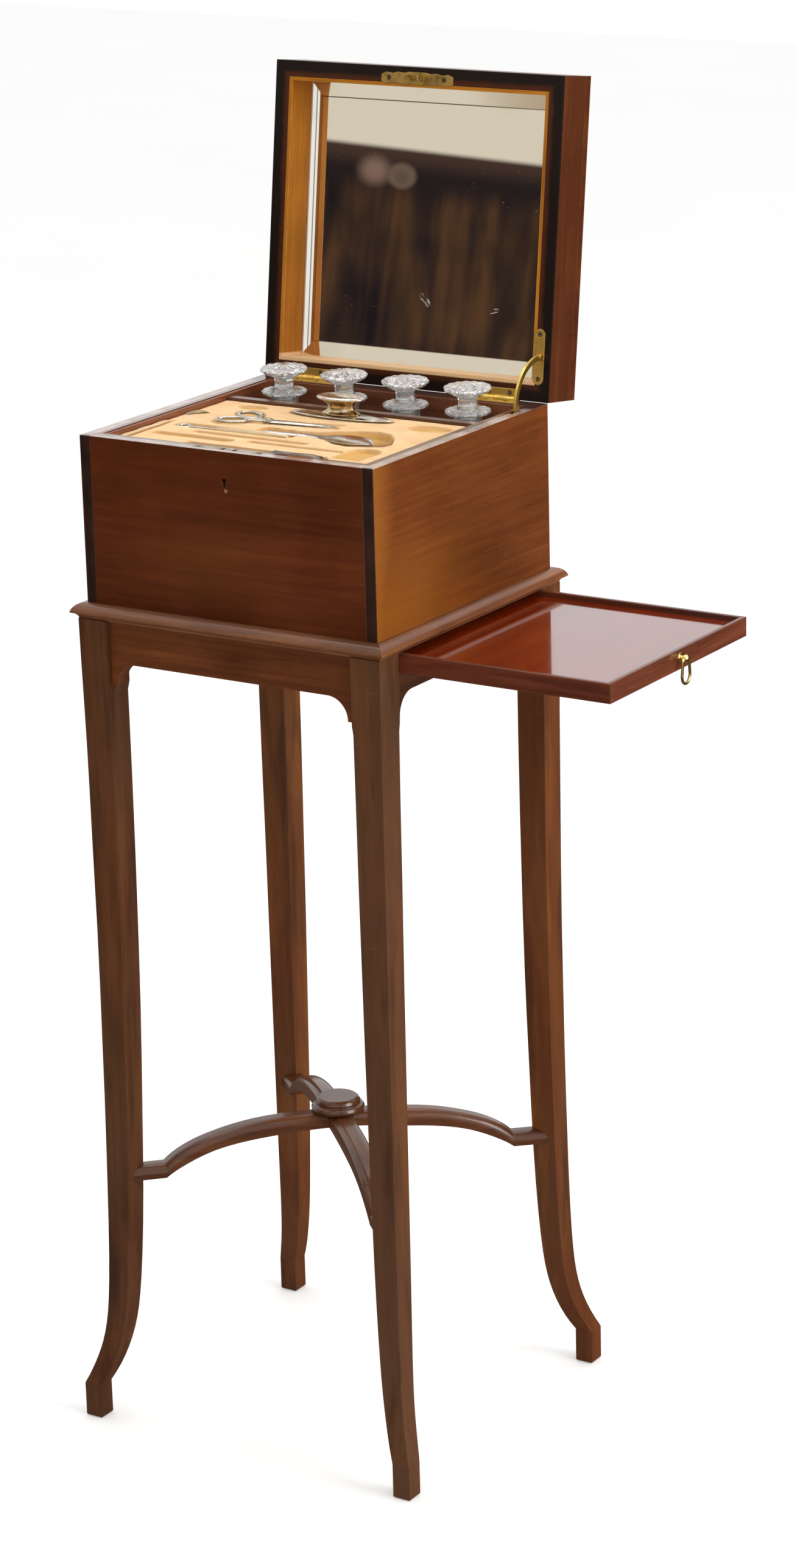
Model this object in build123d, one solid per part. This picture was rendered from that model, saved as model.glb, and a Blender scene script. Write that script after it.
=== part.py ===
from build123d import *
import os
from math import cos, sin, radians, pi, sqrt, hypot, atan2, degrees

os.makedirs("parts", exist_ok=True)

# Fitted dressing box on its own stand.  Millimetres, +Z up.
# Everything below is set out from the middle of the stand at floor level: the box
# front faces -Y, the slide pulls out towards +X, the lid opens backwards towards +Y.
# On writing, the whole is shifted so that the origin is the middle of the outline
# at floor level, with the slide out and the lid open.

# ------------------------------------------------------------ driving sizes
BOX_W = 305.0            # box body, across the front
BOX_D = 288.7            # box body, front to back
Z_BOX = 787.0            # underside of the box
Z_RIM = 938.0            # rim of the box
WALL = 14.5              # carcase thickness
LIN = 3.5                # lining thickness
LID_H = 48.5             # closed lid, rim to top
LID_OPEN = 97.44         # opening angle, degrees
GAP = 0.3                # working gap between moving bodies
AX_Y = 144.5             # lid hinge axis
AX_Z = Z_RIM + GAP / 2

STAND_TOP = 773.3        # top of the legs and aprons
LEG_DXY = 7.1            # the stand is this much deeper in X than in Y, per side
APRON_T = 14.5
APRON_SET = 4.5          # aprons sit back from the leg faces
APRON_Z = 735.0          # lower edge of aprons and right rail
SLIDE_Z0, SLIDE_Z1 = 755.5, 773.0
SLIDE_X0, SLIDE_X1 = 75.0, 365.0
SLIDE_HY = 120.3
SLIDE_TRAVEL = 206.2

ARM_W = 23.0             # stretcher arm width
MIRROR_DEPTH = 31.0      # lid rim to mirror face
PAD_Z = 933.0            # surface of the velvet pad

REF_X, REF_Y = 96.9, 29.02    # middle of the outline, from the middle of the stand

HX, HY = BOX_W / 2, BOX_D / 2
ZL0 = Z_RIM + GAP                    # lid rim when closed
ZL1 = ZL0 + LID_H                    # lid top when closed

nodes = {}


def blk(x0, x1, y0, y1, z0, z1):
    return Pos((x0 + x1) / 2, (y0 + y1) / 2, (z0 + z1) / 2) * Box(abs(x1 - x0), abs(y1 - y0), abs(z1 - z0))


def cyl(r, x, y, z0, z1):
    return Pos(x, y, (z0 + z1) / 2) * Cylinder(r, abs(z1 - z0))


def cylx(r, x0, x1, y, z):
    return Pos((x0 + x1) / 2, y, z) * Rot(0, 90, 0) * Cylinder(r, abs(x1 - x0))


def cyly(r, x, y0, y1, z):
    return Pos(x, (y0 + y1) / 2, z) * Rot(90, 0, 0) * Cylinder(r, abs(y1 - y0))


def plan(pts, z0, z1):
    f = make_face(Polyline(*[(x, y, z0) for x, y in pts], close=True))
    return extrude(f, amount=z1 - z0, dir=(0, 0, 1))


def turned(pts, x, y, z0=0.0):
    """Solid of revolution from (radius, height) points, outer profile only."""
    p = [(0, pts[0][1])] + list(pts) + [(0, pts[-1][1])]
    q = [p[0]]
    for a in p[1:]:
        if hypot(a[0] - q[-1][0], a[1] - q[-1][1]) > 1e-6:
            q.append(a)
    f = make_face(Polyline(*[(r, 0, z0 + h) for r, h in q], close=True))
    return Pos(x, y, 0) * revolve(f, Axis.Z, 360)


def spun(pts):
    """Solid of revolution about local Z from (radius, height) points that start and end on the axis."""
    return revolve(make_face(Polyline(*[(r, 0, h) for r, h in pts], close=True)), Axis.Z, 360)


def soft(shape, edges, r):
    """Ease the given edges; a smaller radius is tried before giving up."""
    for k in (1.0, 0.6, 0.35):
        try:
            out = fillet(edges, r * k)
            if out.is_valid and out.volume > 0:
                return out
        except Exception:
            pass
    return shape


def screw(x, y, z, r_head=2.6, r_shank=1.1, length=9.0, up=True):
    """Countersunk slotted screw, head flush at z, shank pointing down (up=True)."""
    s = -1 if up else 1
    pts = [(r_head, 0), (r_head, s * 0.25), (r_shank, s * 1.75), (r_shank, s * (length - 1.2)), (0.15, s * length)]
    b = turned(pts, x, y, z)
    return b - blk(x - r_head, x + r_head, y - 0.3, y + 0.3, z - 0.45 if up else z - 0.1, z + 0.1 if up else z + 0.45)


def screw_blank(x, y, z, r_head=2.6, r_shank=1.1, length=9.0, up=True):
    s = -1 if up else 1
    pts = [(r_head, 0), (r_head, s * 0.25), (r_shank, s * 1.75), (r_shank, s * (length - 1.2)), (0.15, s * length)]
    return turned(pts, x, y, z)


def put(name, shape):
    nodes[name] = shape


# ------------------------------------------------------------ stand: legs
# profile of one leg in X (the Y profile is the same, LEG_DXY nearer the middle)
OUTER = [(773.3, 158.5), (714, 157.9), (655, 157.2), (573, 156.9), (480, 156.5), (386, 156.8), (290, 157.5),
         (220, 158.4), (150, 159.8), (122, 160.9), (98, 162.6), (73, 166.4), (52, 172.2), (33, 179.6)]
INNER = [(704, 129.2), (573, 129.3), (480, 129.9), (386, 131.0), (290, 133.0), (220, 134.7), (150, 137.7),
         (122, 139.6), (98, 142.1), (73, 146.9), (52, 153.4), (33, 162.0)]
FOOT_H = 33.0
FOOT_IN, FOOT_OUT = 162.0, 179.6
LEG_IN_TOP = 128.0


def leg_profile(off, plane, sx):
    def p(v, z):
        v = sx * (v - off)
        return (v, -400, z) if plane == "x" else (-400, v, z)
    e = [Spline(*[p(x, z) for z, x in OUTER]),
         Line(p(FOOT_OUT, FOOT_H), p(FOOT_OUT, 0)),
         Line(p(FOOT_OUT, 0), p(FOOT_IN, 0)),
         Line(p(FOOT_IN, 0), p(FOOT_IN, FOOT_H)),
         Spline(*[p(x, z) for z, x in INNER[::-1]]),
         Line(p(INNER[0][1], INNER[0][0]), p(LEG_IN_TOP, 712)),
         Line(p(LEG_IN_TOP, 712), p(LEG_IN_TOP, STAND_TOP)),
         Line(p(LEG_IN_TOP, STAND_TOP), p(OUTER[0][1], STAND_TOP))]
    f = make_face(e)
    return extrude(f, amount=800, dir=(0, 1, 0) if plane == "x" else (1, 0, 0))


legs = {}
for nm, sx, sy in (("leg_front_left", -1, -1), ("leg_front_right", 1, -1), ("leg_back_left", -1, 1), ("leg_back_right", 1, 1)):
    leg = leg_profile(0, "x", sx) & leg_profile(LEG_DXY, "y", sy)
    if isinstance(leg, (list, ShapeList)):
        leg = max(leg, key=lambda s: s.volume)
    bottom = leg.faces().sort_by(Axis.Z)[0]
    leg = chamfer(bottom.edges(), 1.0)
    legs[nm] = leg
    put(nm, leg)

LX_IN, LY_IN = LEG_IN_TOP, LEG_IN_TOP - LEG_DXY           # inner leg faces at the top
AX_OUT, AY_OUT = 158.5 - APRON_SET, 158.5 - LEG_DXY - APRON_SET


def apron_face(half, z_top, along, at):
    """Apron outline with a quarter-round bracket at each leg; along is 'x' or 'y'."""
    def p(u, z):
        return (u, at, z) if along == "x" else (at, u, z)
    r = 20.0
    u1 = half - 6.3
    e = [Line(p(-half, z_top), p(half, z_top)), Line(p(half, z_top), p(half, APRON_Z - 21)),
         Line(p(half, APRON_Z - 21), p(u1, APRON_Z - 21)),
         ThreePointArc(p(u1, APRON_Z - 21), p(u1 - r + r * cos(radians(48)), APRON_Z - 21 + 21 * sin(radians(48))), p(u1 - r, APRON_Z)),
         Line(p(u1 - r, APRON_Z), p(-u1 + r, APRON_Z)),
         ThreePointArc(p(-u1 + r, APRON_Z), p(-u1 + r - r * cos(radians(48)), APRON_Z - 21 + 21 * sin(radians(48))), p(-u1, APRON_Z - 21)),
         Line(p(-u1, APRON_Z - 21), p(-half, APRON_Z - 21)), Line(p(-half, APRON_Z - 21), p(-half, z_top))]
    return make_face(e)


put("apron_front", extrude(apron_face(LX_IN, STAND_TOP, "x", -AY_OUT), amount=APRON_T, dir=(0, 1, 0)))
put("apron_back", extrude(apron_face(LX_IN, STAND_TOP, "x", AY_OUT), amount=APRON_T, dir=(0, -1, 0)))
put("apron_left", extrude(apron_face(LY_IN, STAND_TOP, "y", -AX_OUT), amount=APRON_T, dir=(1, 0, 0)))
put("rail_right", extrude(apron_face(LY_IN, SLIDE_Z0 - GAP, "y", AX_OUT), amount=APRON_T, dir=(-1, 0, 0)))

# runners and side guides of the slide, glued inside the front and back aprons
AYI = AY_OUT - APRON_T                                    # inner face of the aprons
for nm, s in (("front", -1), ("back", 1)):
    put("slide_runner_" + nm, blk(-127.5, 127.5, s * 108.0, s * AYI, 743.0, SLIDE_Z0 - GAP))
    put("slide_guide_" + nm, blk(-127.5, 127.5, s * (SLIDE_HY + 0.6), s * AYI, SLIDE_Z0 - GAP, STAND_TOP))

# ------------------------------------------------------------ stand: moulded top
MI = 8.0                                                  # moulding runs this far under the box
put("stand_top", blk(-HX + MI, HX - MI, -HY + MI, HY - MI, STAND_TOP, Z_BOX))


def moulding(side):
    """One mitred length of the moulding; u is the distance out from the box face."""
    def p(u, z):
        if side == "front":
            return (-200, -HY - u, z)
        if side == "back":
            return (-200, HY + u, z)
        if side == "left":
            return (-HX - u, -200, z)
        return (HX + u, -200, z)
    e = [Line(p(-MI, STAND_TOP), p(5.9, STAND_TOP)),
         ThreePointArc(p(5.9, STAND_TOP), p(7.9, 776.6), p(11.9, 778.3)),
         Line(p(11.9, 778.3), p(11.9, 779.5)),
         ThreePointArc(p(11.9, 779.5), p(8.6, 784.4), p(2.6, Z_BOX)),
         Line(p(2.6, Z_BOX), p(-MI, Z_BOX)), Line(p(-MI, Z_BOX), p(-MI, STAND_TOP))]
    bar = extrude(make_face(e), amount=400, dir=(1, 0, 0) if side in ("front", "back") else (0, 1, 0))
    a, b, k = HX - MI, HY - MI, 30.0
    if side in ("front", "back"):
        s = -1 if side == "front" else 1
        w = plan([(-a, s * b), (a, s * b), (a + k, s * (b + k)), (-a - k, s * (b + k))], STAND_TOP - 5, Z_BOX + 5)
    else:
        s = -1 if side == "left" else 1
        w = plan([(s * a, -b), (s * a, b), (s * (a + k), b + k), (s * (a + k), -b - k)], STAND_TOP - 5, Z_BOX + 5)
    return bar & w


for side in ("front", "back", "left", "right"):
    put("moulding_" + side, moulding(side))

# ------------------------------------------------------------ stand: cross stretcher
ARM_TOP = [(0, 282.95), (28, 282.5), (58, 281.6), (76, 280.0), (100, 275.9), (118, 271.2), (134, 265.8), (148, 259.2), (157, 253.6), (164.5, 247.3)]
ARM_BOT = [(164.5, 235.2), (157, 240.4), (150, 244.4), (138, 250.3), (122, 256.6), (100, 262.0), (81, 264.8), (50, 267.6), (25, 269.0), (0, 269.2)]
ARM_END = 205.0
ARM_ANG = degrees(atan2(LY_IN + 6.7, LX_IN + 6.8))
ARM_DROP = 2.7           # the far end of one member sits this much lower


def member(drop):
    """One arched member: flat underneath, well rounded above, ending level at the legs."""
    def p(r, z, side=1):
        k = 0.0 if side < 0 else drop * min(1.0, r / 60.0) ** 1.0 * (3 - 2 * min(1.0, r / 60.0)) * min(1.0, r / 60.0)
        return (side * r, -ARM_W / 2, z - k)
    top = [p(r, z, -1) for r, z in ARM_TOP[:0:-1]] + [p(r, z) for r, z in ARM_TOP]
    bot = [p(r, z) for r, z in ARM_BOT] + [p(r, z, -1) for r, z in ARM_BOT[-2::-1]]
    e = [Spline(*top), Line(top[-1], bot[0]), Spline(*bot), Line(bot[-1], top[0])]
    s = extrude(make_face(e), amount=ARM_W, dir=(0, 1, 0))
    tops = [ed for ed in s.edges() if abs(abs(ed.center().Y) - ARM_W / 2) < 1e-3 and ed.length > 200 and ed.center().Z > 275]
    for r in (7.5, 6.5, 5.5, 4.5, 3.5):
        try:
            t = fillet(tops, r)
            if t.is_valid:
                s = t
                break
        except Exception:
            continue
    print("stretcher shoulder radius", r, "edges", len(tops), "valid", s.is_valid)
    for side in (-1, 1):
        a, b = top[0 if side < 0 else -1], bot[-1 if side < 0 else 0]
        q = [(a[0] - side * 3.0, a[1], a[2]), (side * ARM_END, a[1], a[2] - 0.4), (side * ARM_END, a[1], b[2] - 0.4), (b[0], b[1], b[2]),
             (b[0] - side * 3.0, b[1], b[2] + 3.2)]
        end = extrude(make_face(Polyline(*q, close=True)), amount=ARM_W, dir=(0, 1, 0))
        te = [ed for ed in end.edges() if ed.length > 30 and ed.center().Z > (a[2] + b[2]) / 2]
        try:
            t = fillet(te, 8.6)
            end = t if t.is_valid else end
        except Exception:
            print("level end left square")
        s = s + end
    return s


mA = Rot(0, 0, ARM_ANG) * member(ARM_DROP)
mB = Rot(0, 0, -ARM_ANG) * member(0.0)
half = 276.0
mA = mA - Rot(0, 0, -ARM_ANG) * blk(-40, 40, -ARM_W / 2, ARM_W / 2, half, 300)      # half lap at the crossing
mB = mB - Rot(0, 0, ARM_ANG) * blk(-40, 40, -ARM_W / 2, ARM_W / 2, 240, half)
SCR_R = 2.2
hole = cyl(SCR_R, 0, 0, 255, 291)


def biggest(s):
    so = s.solids()
    return max(so, key=lambda q: q.volume)


mA = mA - hole
mB = mB - hole
for leg in legs.values():
    mA = mA - leg
    mB = mB - leg
put("stretcher_lower_member", biggest(mA))
put("stretcher_upper_member", biggest(mB))
boss = turned([(22.0, 283.0), (24.6, 284.6), (24.8, 286.6), (23.4, 288.8), (21.2, 289.6), (20.6, 290.4), (20.9, 292.2),
               (19.6, 294.6), (18.2, 295.8), (17.4, 296.3)], 0, 0)
put("stretcher_boss", boss - hole)
put("boss_screw", turned([(4.6, 266.4), (4.6, 267.0), (SCR_R, 269.0), (SCR_R, 291.0)], 0, 0) - blk(-4.6, 4.6, -0.5, 0.5, 266.3, 267.0))
for k in ("stretcher_lower_member",):
    nodes[k] = nodes[k] - turned([(4.6, 266.4), (4.6, 267.0), (SCR_R, 269.0)], 0, 0)

# ------------------------------------------------------------ slide (pulled out)
LIP = 4.4
SB = 768.0                                                # surface of the slide panel
sl = {}
sl["slide_panel"] = blk(SLIDE_X0 + LIP, SLIDE_X1 - LIP, -SLIDE_HY + LIP, SLIDE_HY - LIP, SLIDE_Z0, SB)
for nm, s in (("front", -1), ("back", 1)):
    b = blk(SLIDE_X0, SLIDE_X1, s * (SLIDE_HY - LIP), s * SLIDE_HY, SLIDE_Z0, SLIDE_Z1)
    es = [e for e in b.edges() if abs(e.center().Z - SLIDE_Z1) < 1e-3 and e.length > 100]
    sl["slide_edge_" + nm] = soft(b, es, 0.9)
b = blk(SLIDE_X1 - LIP, SLIDE_X1, -SLIDE_HY + LIP, SLIDE_HY - LIP, SLIDE_Z0, SLIDE_Z1)
sl["slide_edge_outer"] = soft(b, [e for e in b.edges() if abs(e.center().Z - SLIDE_Z1) < 1e-3 and e.length > 100], 0.9)
b = blk(SLIDE_X0, SLIDE_X0 + LIP, -SLIDE_HY + LIP, SLIDE_HY - LIP, SLIDE_Z0, SLIDE_Z1)
sl["slide_edge_inner"] = b
sl["slide_stop"] = blk(126.4, 139.0, -40, 40, 746.0, SLIDE_Z0)

# drop pull on the slide's outer edge: stalk, and a loop hanging from it
PUY, PUZ, PUX = 0.5, 765.2, 370.4
WIRE = 1.3
stalk = Pos(SLIDE_X1, PUY, PUZ) * Rot(0, 90, 0) * spun([(0, -4), (1.6, -4), (1.6, 0), (5.2, 0), (5.2, 0.8), (3.9, 1.4), (2.5, 1.9), (2.4, 2.7),
                                                        (3.2, 3.5), (3.7, 4.7), (3.7, 6.0), (3.2, 7.2), (2.0, 8.1), (0, 8.4)])
stalk = stalk - cyly(WIRE + 0.07, PUX, PUY - 8, PUY + 8, PUZ)
sl["pull_stalk"] = stalk
sl["slide_edge_outer"] = sl["slide_edge_outer"] - cylx(1.6, SLIDE_X1 - 4, SLIDE_X1, PUY, PUZ)
# loop: straight through the stalk, then down each side of it to a round bottom
lt_, lw, lh = 5.4, 6.9, 14.8                              # half width at the top and bottom, depth to the round bottom
sl_ = atan2(lw - lt_, lh)                                 # slope of the two sides
cr = 1.7                                                  # corner radius
tl = cr * (1 - sin(sl_)) / cos(sl_)
def loop_pt(y, z):
    return (PUX, PUY + y, PUZ + z)
ca = radians(45) - sl_ / 2
path = []
for s_ in (1, -1):
    ctr = (s_ * (lt_ - tl), -cr)
    p0 = (s_ * (lt_ - tl), 0.0)
    p1 = (ctr[0] + s_ * cr * cos(sl_), ctr[1] + cr * sin(sl_))
    pm = (ctr[0] + s_ * cr * cos(sl_ + (pi / 2 - sl_) / 2), ctr[1] + cr * sin(sl_ + (pi / 2 - sl_) / 2))
    pe = (s_ * lw * cos(sl_), -lh + lw * sin(sl_))
    path.append((p0, pm, p1, pe))
(a0_, am, a1, ae), (b0, bm, b1, be) = path
path = [Line(loop_pt(*b0), loop_pt(*a0_)), ThreePointArc(loop_pt(*a0_), loop_pt(*am), loop_pt(*a1)), Line(loop_pt(*a1), loop_pt(*ae)),
        ThreePointArc(loop_pt(*ae), loop_pt(0, -lh - lw), loop_pt(*be)), Line(loop_pt(*be), loop_pt(*b1)),
        ThreePointArc(loop_pt(*b1), loop_pt(*bm), loop_pt(*b0))]
sec = Plane(origin=(PUX, PUY, PUZ), z_dir=(0, 1, 0)) * Circle(WIRE)
loop = None
try:
    loop = sweep(sec, path=Wire(path))
    if not loop.is_valid or loop.volume < 100:
        loop = None
except Exception as ex:
    print("loop sweep", ex)
if loop is None:
    loop = cyly(WIRE, PUX, PUY - lw, PUY + lw, PUZ)
    for s in (-1, 1):
        loop = loop + cyl(WIRE, PUX, PUY + s * lw, PUZ - lh, PUZ)
        loop = loop + Pos(PUX, PUY + s * lw, PUZ) * Sphere(WIRE)
    tor = Pos(PUX, PUY, PUZ - lh) * Rot(0, 90, 0) * Torus(lw, WIRE)
    loop = loop + (tor & blk(PUX - 5, PUX + 5, PUY - 20, PUY + 20, PUZ - lh - 20, PUZ - lh))
sl["pull_loop"] = loop
for k, v in sl.items():
    put(k, v)

# ------------------------------------------------------------ box carcase
ZB0, ZB1 = Z_BOX, Z_RIM
IX, IY = HX - WALL, HY - WALL                             # inside of the carcase
front = plan([(-HX, -HY), (HX, -HY), (IX, -IY), (-IX, -IY)], ZB0, ZB1)
left = plan([(-HX, -HY), (-IX, -IY), (-IX, HY), (-HX, HY)], ZB0, ZB1)
right = plan([(HX, -HY), (HX, HY), (IX, HY), (IX, -IY)], ZB0, ZB1)
back = blk(-IX, IX, IY, HY, ZB0, ZB1)
bottom = blk(-IX, IX, -IY, IY, ZB0, ZB0 + 10)

# ebonised strips let into the front face at both corners
STRIP_W, STRIP_T = 10.5, 2.5
for nm, s in (("left", -1), ("right", 1)):
    b = plan([(s * HX, -HY), (s * (HX - STRIP_W), -HY), (s * (HX - STRIP_W), -HY + STRIP_T), (s * (HX - STRIP_T), -HY + STRIP_T)], ZB0, ZB1)
    put("corner_strip_" + nm, b)
    front = front - b

# lock: case let into the front wall, two slots in its top plate, keyhole through the wall
LKY = -HY + 9.3                                           # centre of the lock in the wall
LK_W, LK_D, LK_Z0 = 27.0, 4.2, 903.0
SEL_T = 1.8
case = blk(-LK_W, LK_W, LKY - LK_D, LKY + LK_D, LK_Z0, Z_RIM - SEL_T) - \
    blk(-LK_W + 1.2, LK_W - 1.2, LKY - LK_D + 1.2, LKY + LK_D - 1.2, LK_Z0 + 1.2, Z_RIM - SEL_T)
sel = blk(-36, 36, LKY - 5.2, LKY + 5.2, Z_RIM - SEL_T, Z_RIM)
HOOK_X = 6.0
for s in (-1, 1):
    sel = sel - blk(s * HOOK_X - 1.7, s * HOOK_X + 1.7, LKY - 3.2, LKY + 3.2, Z_RIM - SEL_T - 1, Z_RIM + 1)
KEY_Z = 912.3
key = cyly(2.2, 0, -HY - 1, LKY + 1, KEY_Z) + blk(-1.1, 1.1, -HY - 1, LKY + 1, KEY_Z - 6.2, KEY_Z)
lock_scr = [screw_blank(s * 31.5, LKY, Z_RIM) for s in (-1, 1)]
lock_case = case + sel
for s in (-1, 1):                                         # two lugs that the bolt slides on
    lock_case = lock_case + blk(s * 9, s * 14, LKY - LK_D, LKY + LK_D, LK_Z0, Z_RIM - 6.6 - 12.5 - 0.05)
front = front - blk(-LK_W, LK_W, LKY - LK_D, LKY + LK_D, LK_Z0, Z_RIM + 1) - blk(-36, 36, LKY - 5.2, LKY + 5.2, Z_RIM - SEL_T, Z_RIM + 1)
for s in lock_scr:
    lock_case = lock_case - s
    front = front - s
front = front - key
lock_case = lock_case - key
lock_case = lock_case - cyly(1.2, 0, LKY, LKY + 8, KEY_Z)
put("lock_case", lock_case)
put("lock_screws", Compound(children=[screw(s * 31.5, LKY, Z_RIM) for s in (-1, 1)]))
# bolt: a sliding plate with two prongs that pass through the links' eyes
BZ = Z_RIM - 6.6
bolt = blk(-18.6, 17.0, LKY - 1.2, LKY + 1.2, BZ - 12.5, BZ - 6.0)
for s in (-1, 1):
    cx = s * HOOK_X
    bolt = bolt + blk(cx - 6.2, cx - 3.6, LKY - 1.2, LKY + 1.2, BZ - 6.0, BZ + 1.2)
    bolt = bolt + blk(cx - 3.6, cx - 1.4, LKY - 1.2, LKY + 1.2, BZ - 1.2, BZ + 1.2)
bolt = bolt - blk(-3.4, 3.4, LKY - 3, LKY + 3, BZ - 13, BZ - 9.6)
put("lock_bolt", bolt)

# ------------------------------------------------------------ hinges
HIN = [(-122.0, -60.0), (60.0, 122.0)]
LEAF_Y0, LEAF_T = 134.6, 1.6
KR, PR = 3.2, 1.4
KCL = 3.55
box_leaf, lid_leaf, pins, scr_box, scr_lid = [], [], [], [], []
scr_box_blank, scr_lid_blank = [], []
for x0, x1 in HIN:
    n = 5
    seg = (x1 - x0) / n
    clear = cylx(KCL - 0.1, x0 - 0.01, x1 + 0.01, AX_Y, AX_Z)
    pb = blk(x0, x1, LEAF_Y0, AX_Y, Z_RIM - LEAF_T, Z_RIM)
    pl = blk(x0, x1, LEAF_Y0, AX_Y, ZL0, ZL0 + LEAF_T)
    ob, ol = pb - clear, pl - clear
    for i in range(n):
        a = x0 + i * seg + (0.15 if i else 0)
        b = x0 + (i + 1) * seg - (0.15 if i < n - 1 else 0)
        k = cylx(KR, a, b, AX_Y, AX_Z)
        if i % 2 == 0:
            ob = ob + k + blk(a, b, AX_Y - KCL - 0.2, AX_Y, Z_RIM - LEAF_T, Z_RIM)
        else:
            ol = ol + k + blk(a, b, AX_Y - KCL - 0.2, AX_Y, ZL0, ZL0 + LEAF_T)
    bore = cylx(PR + 0.05, x0 - 1, x1 + 1, AX_Y, AX_Z)
    ob, ol = ob - bore, ol - bore
    for xs in (x0 + 9.5, (x0 + x1) / 2, x1 - 9.5):
        scr_box.append(screw(xs, 138.4, Z_RIM, r_head=2.4))
        scr_box_blank.append(screw_blank(xs, 138.4, Z_RIM, r_head=2.4))
        scr_lid.append(screw(xs, 138.4, ZL0, r_head=2.4, up=False))
        scr_lid_blank.append(screw_blank(xs, 138.4, ZL0, r_head=2.4, up=False))
    for s in scr_box_blank:
        ob = ob - s
    for s in scr_lid_blank:
        ol = ol - s
    box_leaf.append(ob)
    lid_leaf.append(ol)
    pins.append(cylx(PR, x0, x1, AX_Y, AX_Z))
    back = back - blk(x0, x1, LEAF_Y0, HY + 1, Z_RIM - LEAF_T, Z_RIM + 1) - cylx(KCL, x0, x1, AX_Y, AX_Z)
for s in scr_box_blank:
    back = back - s

# ------------------------------------------------------------ lid (closed position, turned open below)
lid = {}
ZT = ZL1 - 9.5                                            # underside of the lid's top board
lf = plan([(-HX, -HY), (HX, -HY), (IX, -IY), (-IX, -IY)], ZL0, ZT)
ll = plan([(-HX, -HY), (-IX, -IY), (-IX, HY), (-HX, HY)], ZL0, ZT)
lr = plan([(HX, -HY), (HX, HY), (IX, HY), (IX, -IY)], ZL0, ZT)
lb = blk(-IX, IX, IY, HY, ZL0, ZT)
for x0, x1 in HIN:
    lb = lb - blk(x0, x1, LEAF_Y0, HY + 1, ZL0 - 1, ZL0 + LEAF_T) - cylx(KCL, x0, x1, AX_Y, AX_Z)
for s in scr_lid_blank:
    lb = lb - s
# link plate with two eyes, on the front rim of the lid
LP_T = 1.6
pts = []
pw = [(-38, -3.4), (-38, 3.4), (-33, 5.4), (-26, 4.6), (-21, 5.9), (-14, 5.2), (-9, 6.3), (9, 6.3), (14, 5.2), (21, 5.9), (26, 4.6), (33, 5.4),
      (38, 3.4), (38, -3.4), (33, -5.0), (24, -4.2), (18, -5.0), (-18, -5.0), (-24, -4.2), (-33, -5.0)]
lp_blank = plan([(x, LKY + 1.5 - y) for x, y in pw][::-1], ZL0, ZL0 + LP_T)     # its outline reaches over the lining's edge
lp = lp_blank
for s in (-1, 1):
    cx = s * HOOK_X
    ear = blk(cx - 1.1, cx + 1.1, LKY - 2.5, LKY + 2.5, ZL0 - 9.8, ZL0)
    lp = lp + ear - blk(cx - 3, cx + 3, LKY - 1.7, LKY + 1.7, BZ - 1.75, BZ + 1.75)
lp_s = [(-30.0, LKY + 1.0), (28.5, LKY + 1.0)]
lf = lf - lp_blank
for x, y in lp_s:
    s = screw_blank(x, y, ZL0, r_head=2.4, up=False)
    lp = lp - s
    lf = lf - s
lid["link_plate"] = lp
lid["link_plate_screws"] = Compound(children=[screw(x, y, ZL0, r_head=2.4, up=False) for x, y in lp_s])

# stay plate on the right rim, with two ears that carry the stay's rivet
ST_X = 143.5
ST_R = 40.5                                               # rivet, from the hinge axis along the rim
ST_P = 3.0                                                # rivet, proud of the lid rim
STH = 2.2                                                 # stay thickness
sy = AX_Y - ST_R
SP_T = 1.6
SP_X = 141.0                                              # middle of the stay plate, which laps over the lining
sp_blank = extrude(Plane.XY.offset(ZL0) * (Pos(SP_X, sy) * Rot(0, 0, 90) * SlotOverall(50.0, 10.8)), amount=SP_T)
sp = sp_blank
for s in (-1, 1):
    x_in, x_out = ST_X + s * (STH / 2 + 0.15), ST_X + s * (STH / 2 + 1.25)
    ear = blk(x_in, x_out, sy - 2.6, sy + 2.6, ZL0 - ST_P, ZL0) + cylx(2.6, x_in, x_out, sy, ZL0 - ST_P)
    sp = sp + ear
sp = sp - cylx(1.0, ST_X - 5, ST_X + 5, sy, ZL0 - ST_P)
sp = sp - cylx(3.0, ST_X - STH / 2 - 0.15, ST_X + STH / 2 + 0.15, sy, ZL0 - ST_P)
lr = lr - sp_blank
sp_s = [(SP_X, sy - 20.0), (SP_X, sy + 20.0)]
for x, y in sp_s:
    s = screw_blank(x, y, ZL0, r_head=2.4, up=False)
    sp = sp - s
    lr = lr - s
lid["stay_plate"] = sp
lid["stay_plate_screws"] = Compound(children=[screw(x, y, ZL0, r_head=2.4, up=False) for x, y in sp_s])
lid["stay_rivet"] = cylx(1.0, ST_X - STH / 2 - 1.25, ST_X + STH / 2 + 1.25, sy, ZL0 - ST_P)
lid["lid_front"] = lf
lid["lid_left"] = ll
lid["lid_right"] = lr
lid["lid_back"] = lb
lt = blk(-HX, HX, -HY, HY, ZT, ZL1)
lt = soft(lt, [e for e in lt.edges() if abs(e.center().Z - ZL1) < 1e-3], 1.4)
lid["lid_top"] = lt
ZM = ZL0 + MIRROR_DEPTH                                   # mirror face
for nm, s in (("left", -1), ("right", 1)):
    lid["lid_lining_" + nm] = blk(s * (IX - LIN), s * IX, -IY, IY, ZL0 + 0.3, ZM + 1.0) - sp_blank
    for x, y in sp_s:
        lid["lid_lining_" + nm] = lid["lid_lining_" + nm] - screw_blank(x, y, ZL0, r_head=2.4, up=False)
lid["lid_lining_front"] = blk(-IX + LIN, IX - LIN, -IY, -IY + LIN, ZL0 + 0.3, ZM + 1.0) - lp_blank
lid["lid_lining_back"] = blk(-IX + LIN, IX - LIN, IY - LIN, IY, ZL0 + 0.3, ZM + 1.0)
MX, MY = IX - 0.2, IY - 0.2
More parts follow.
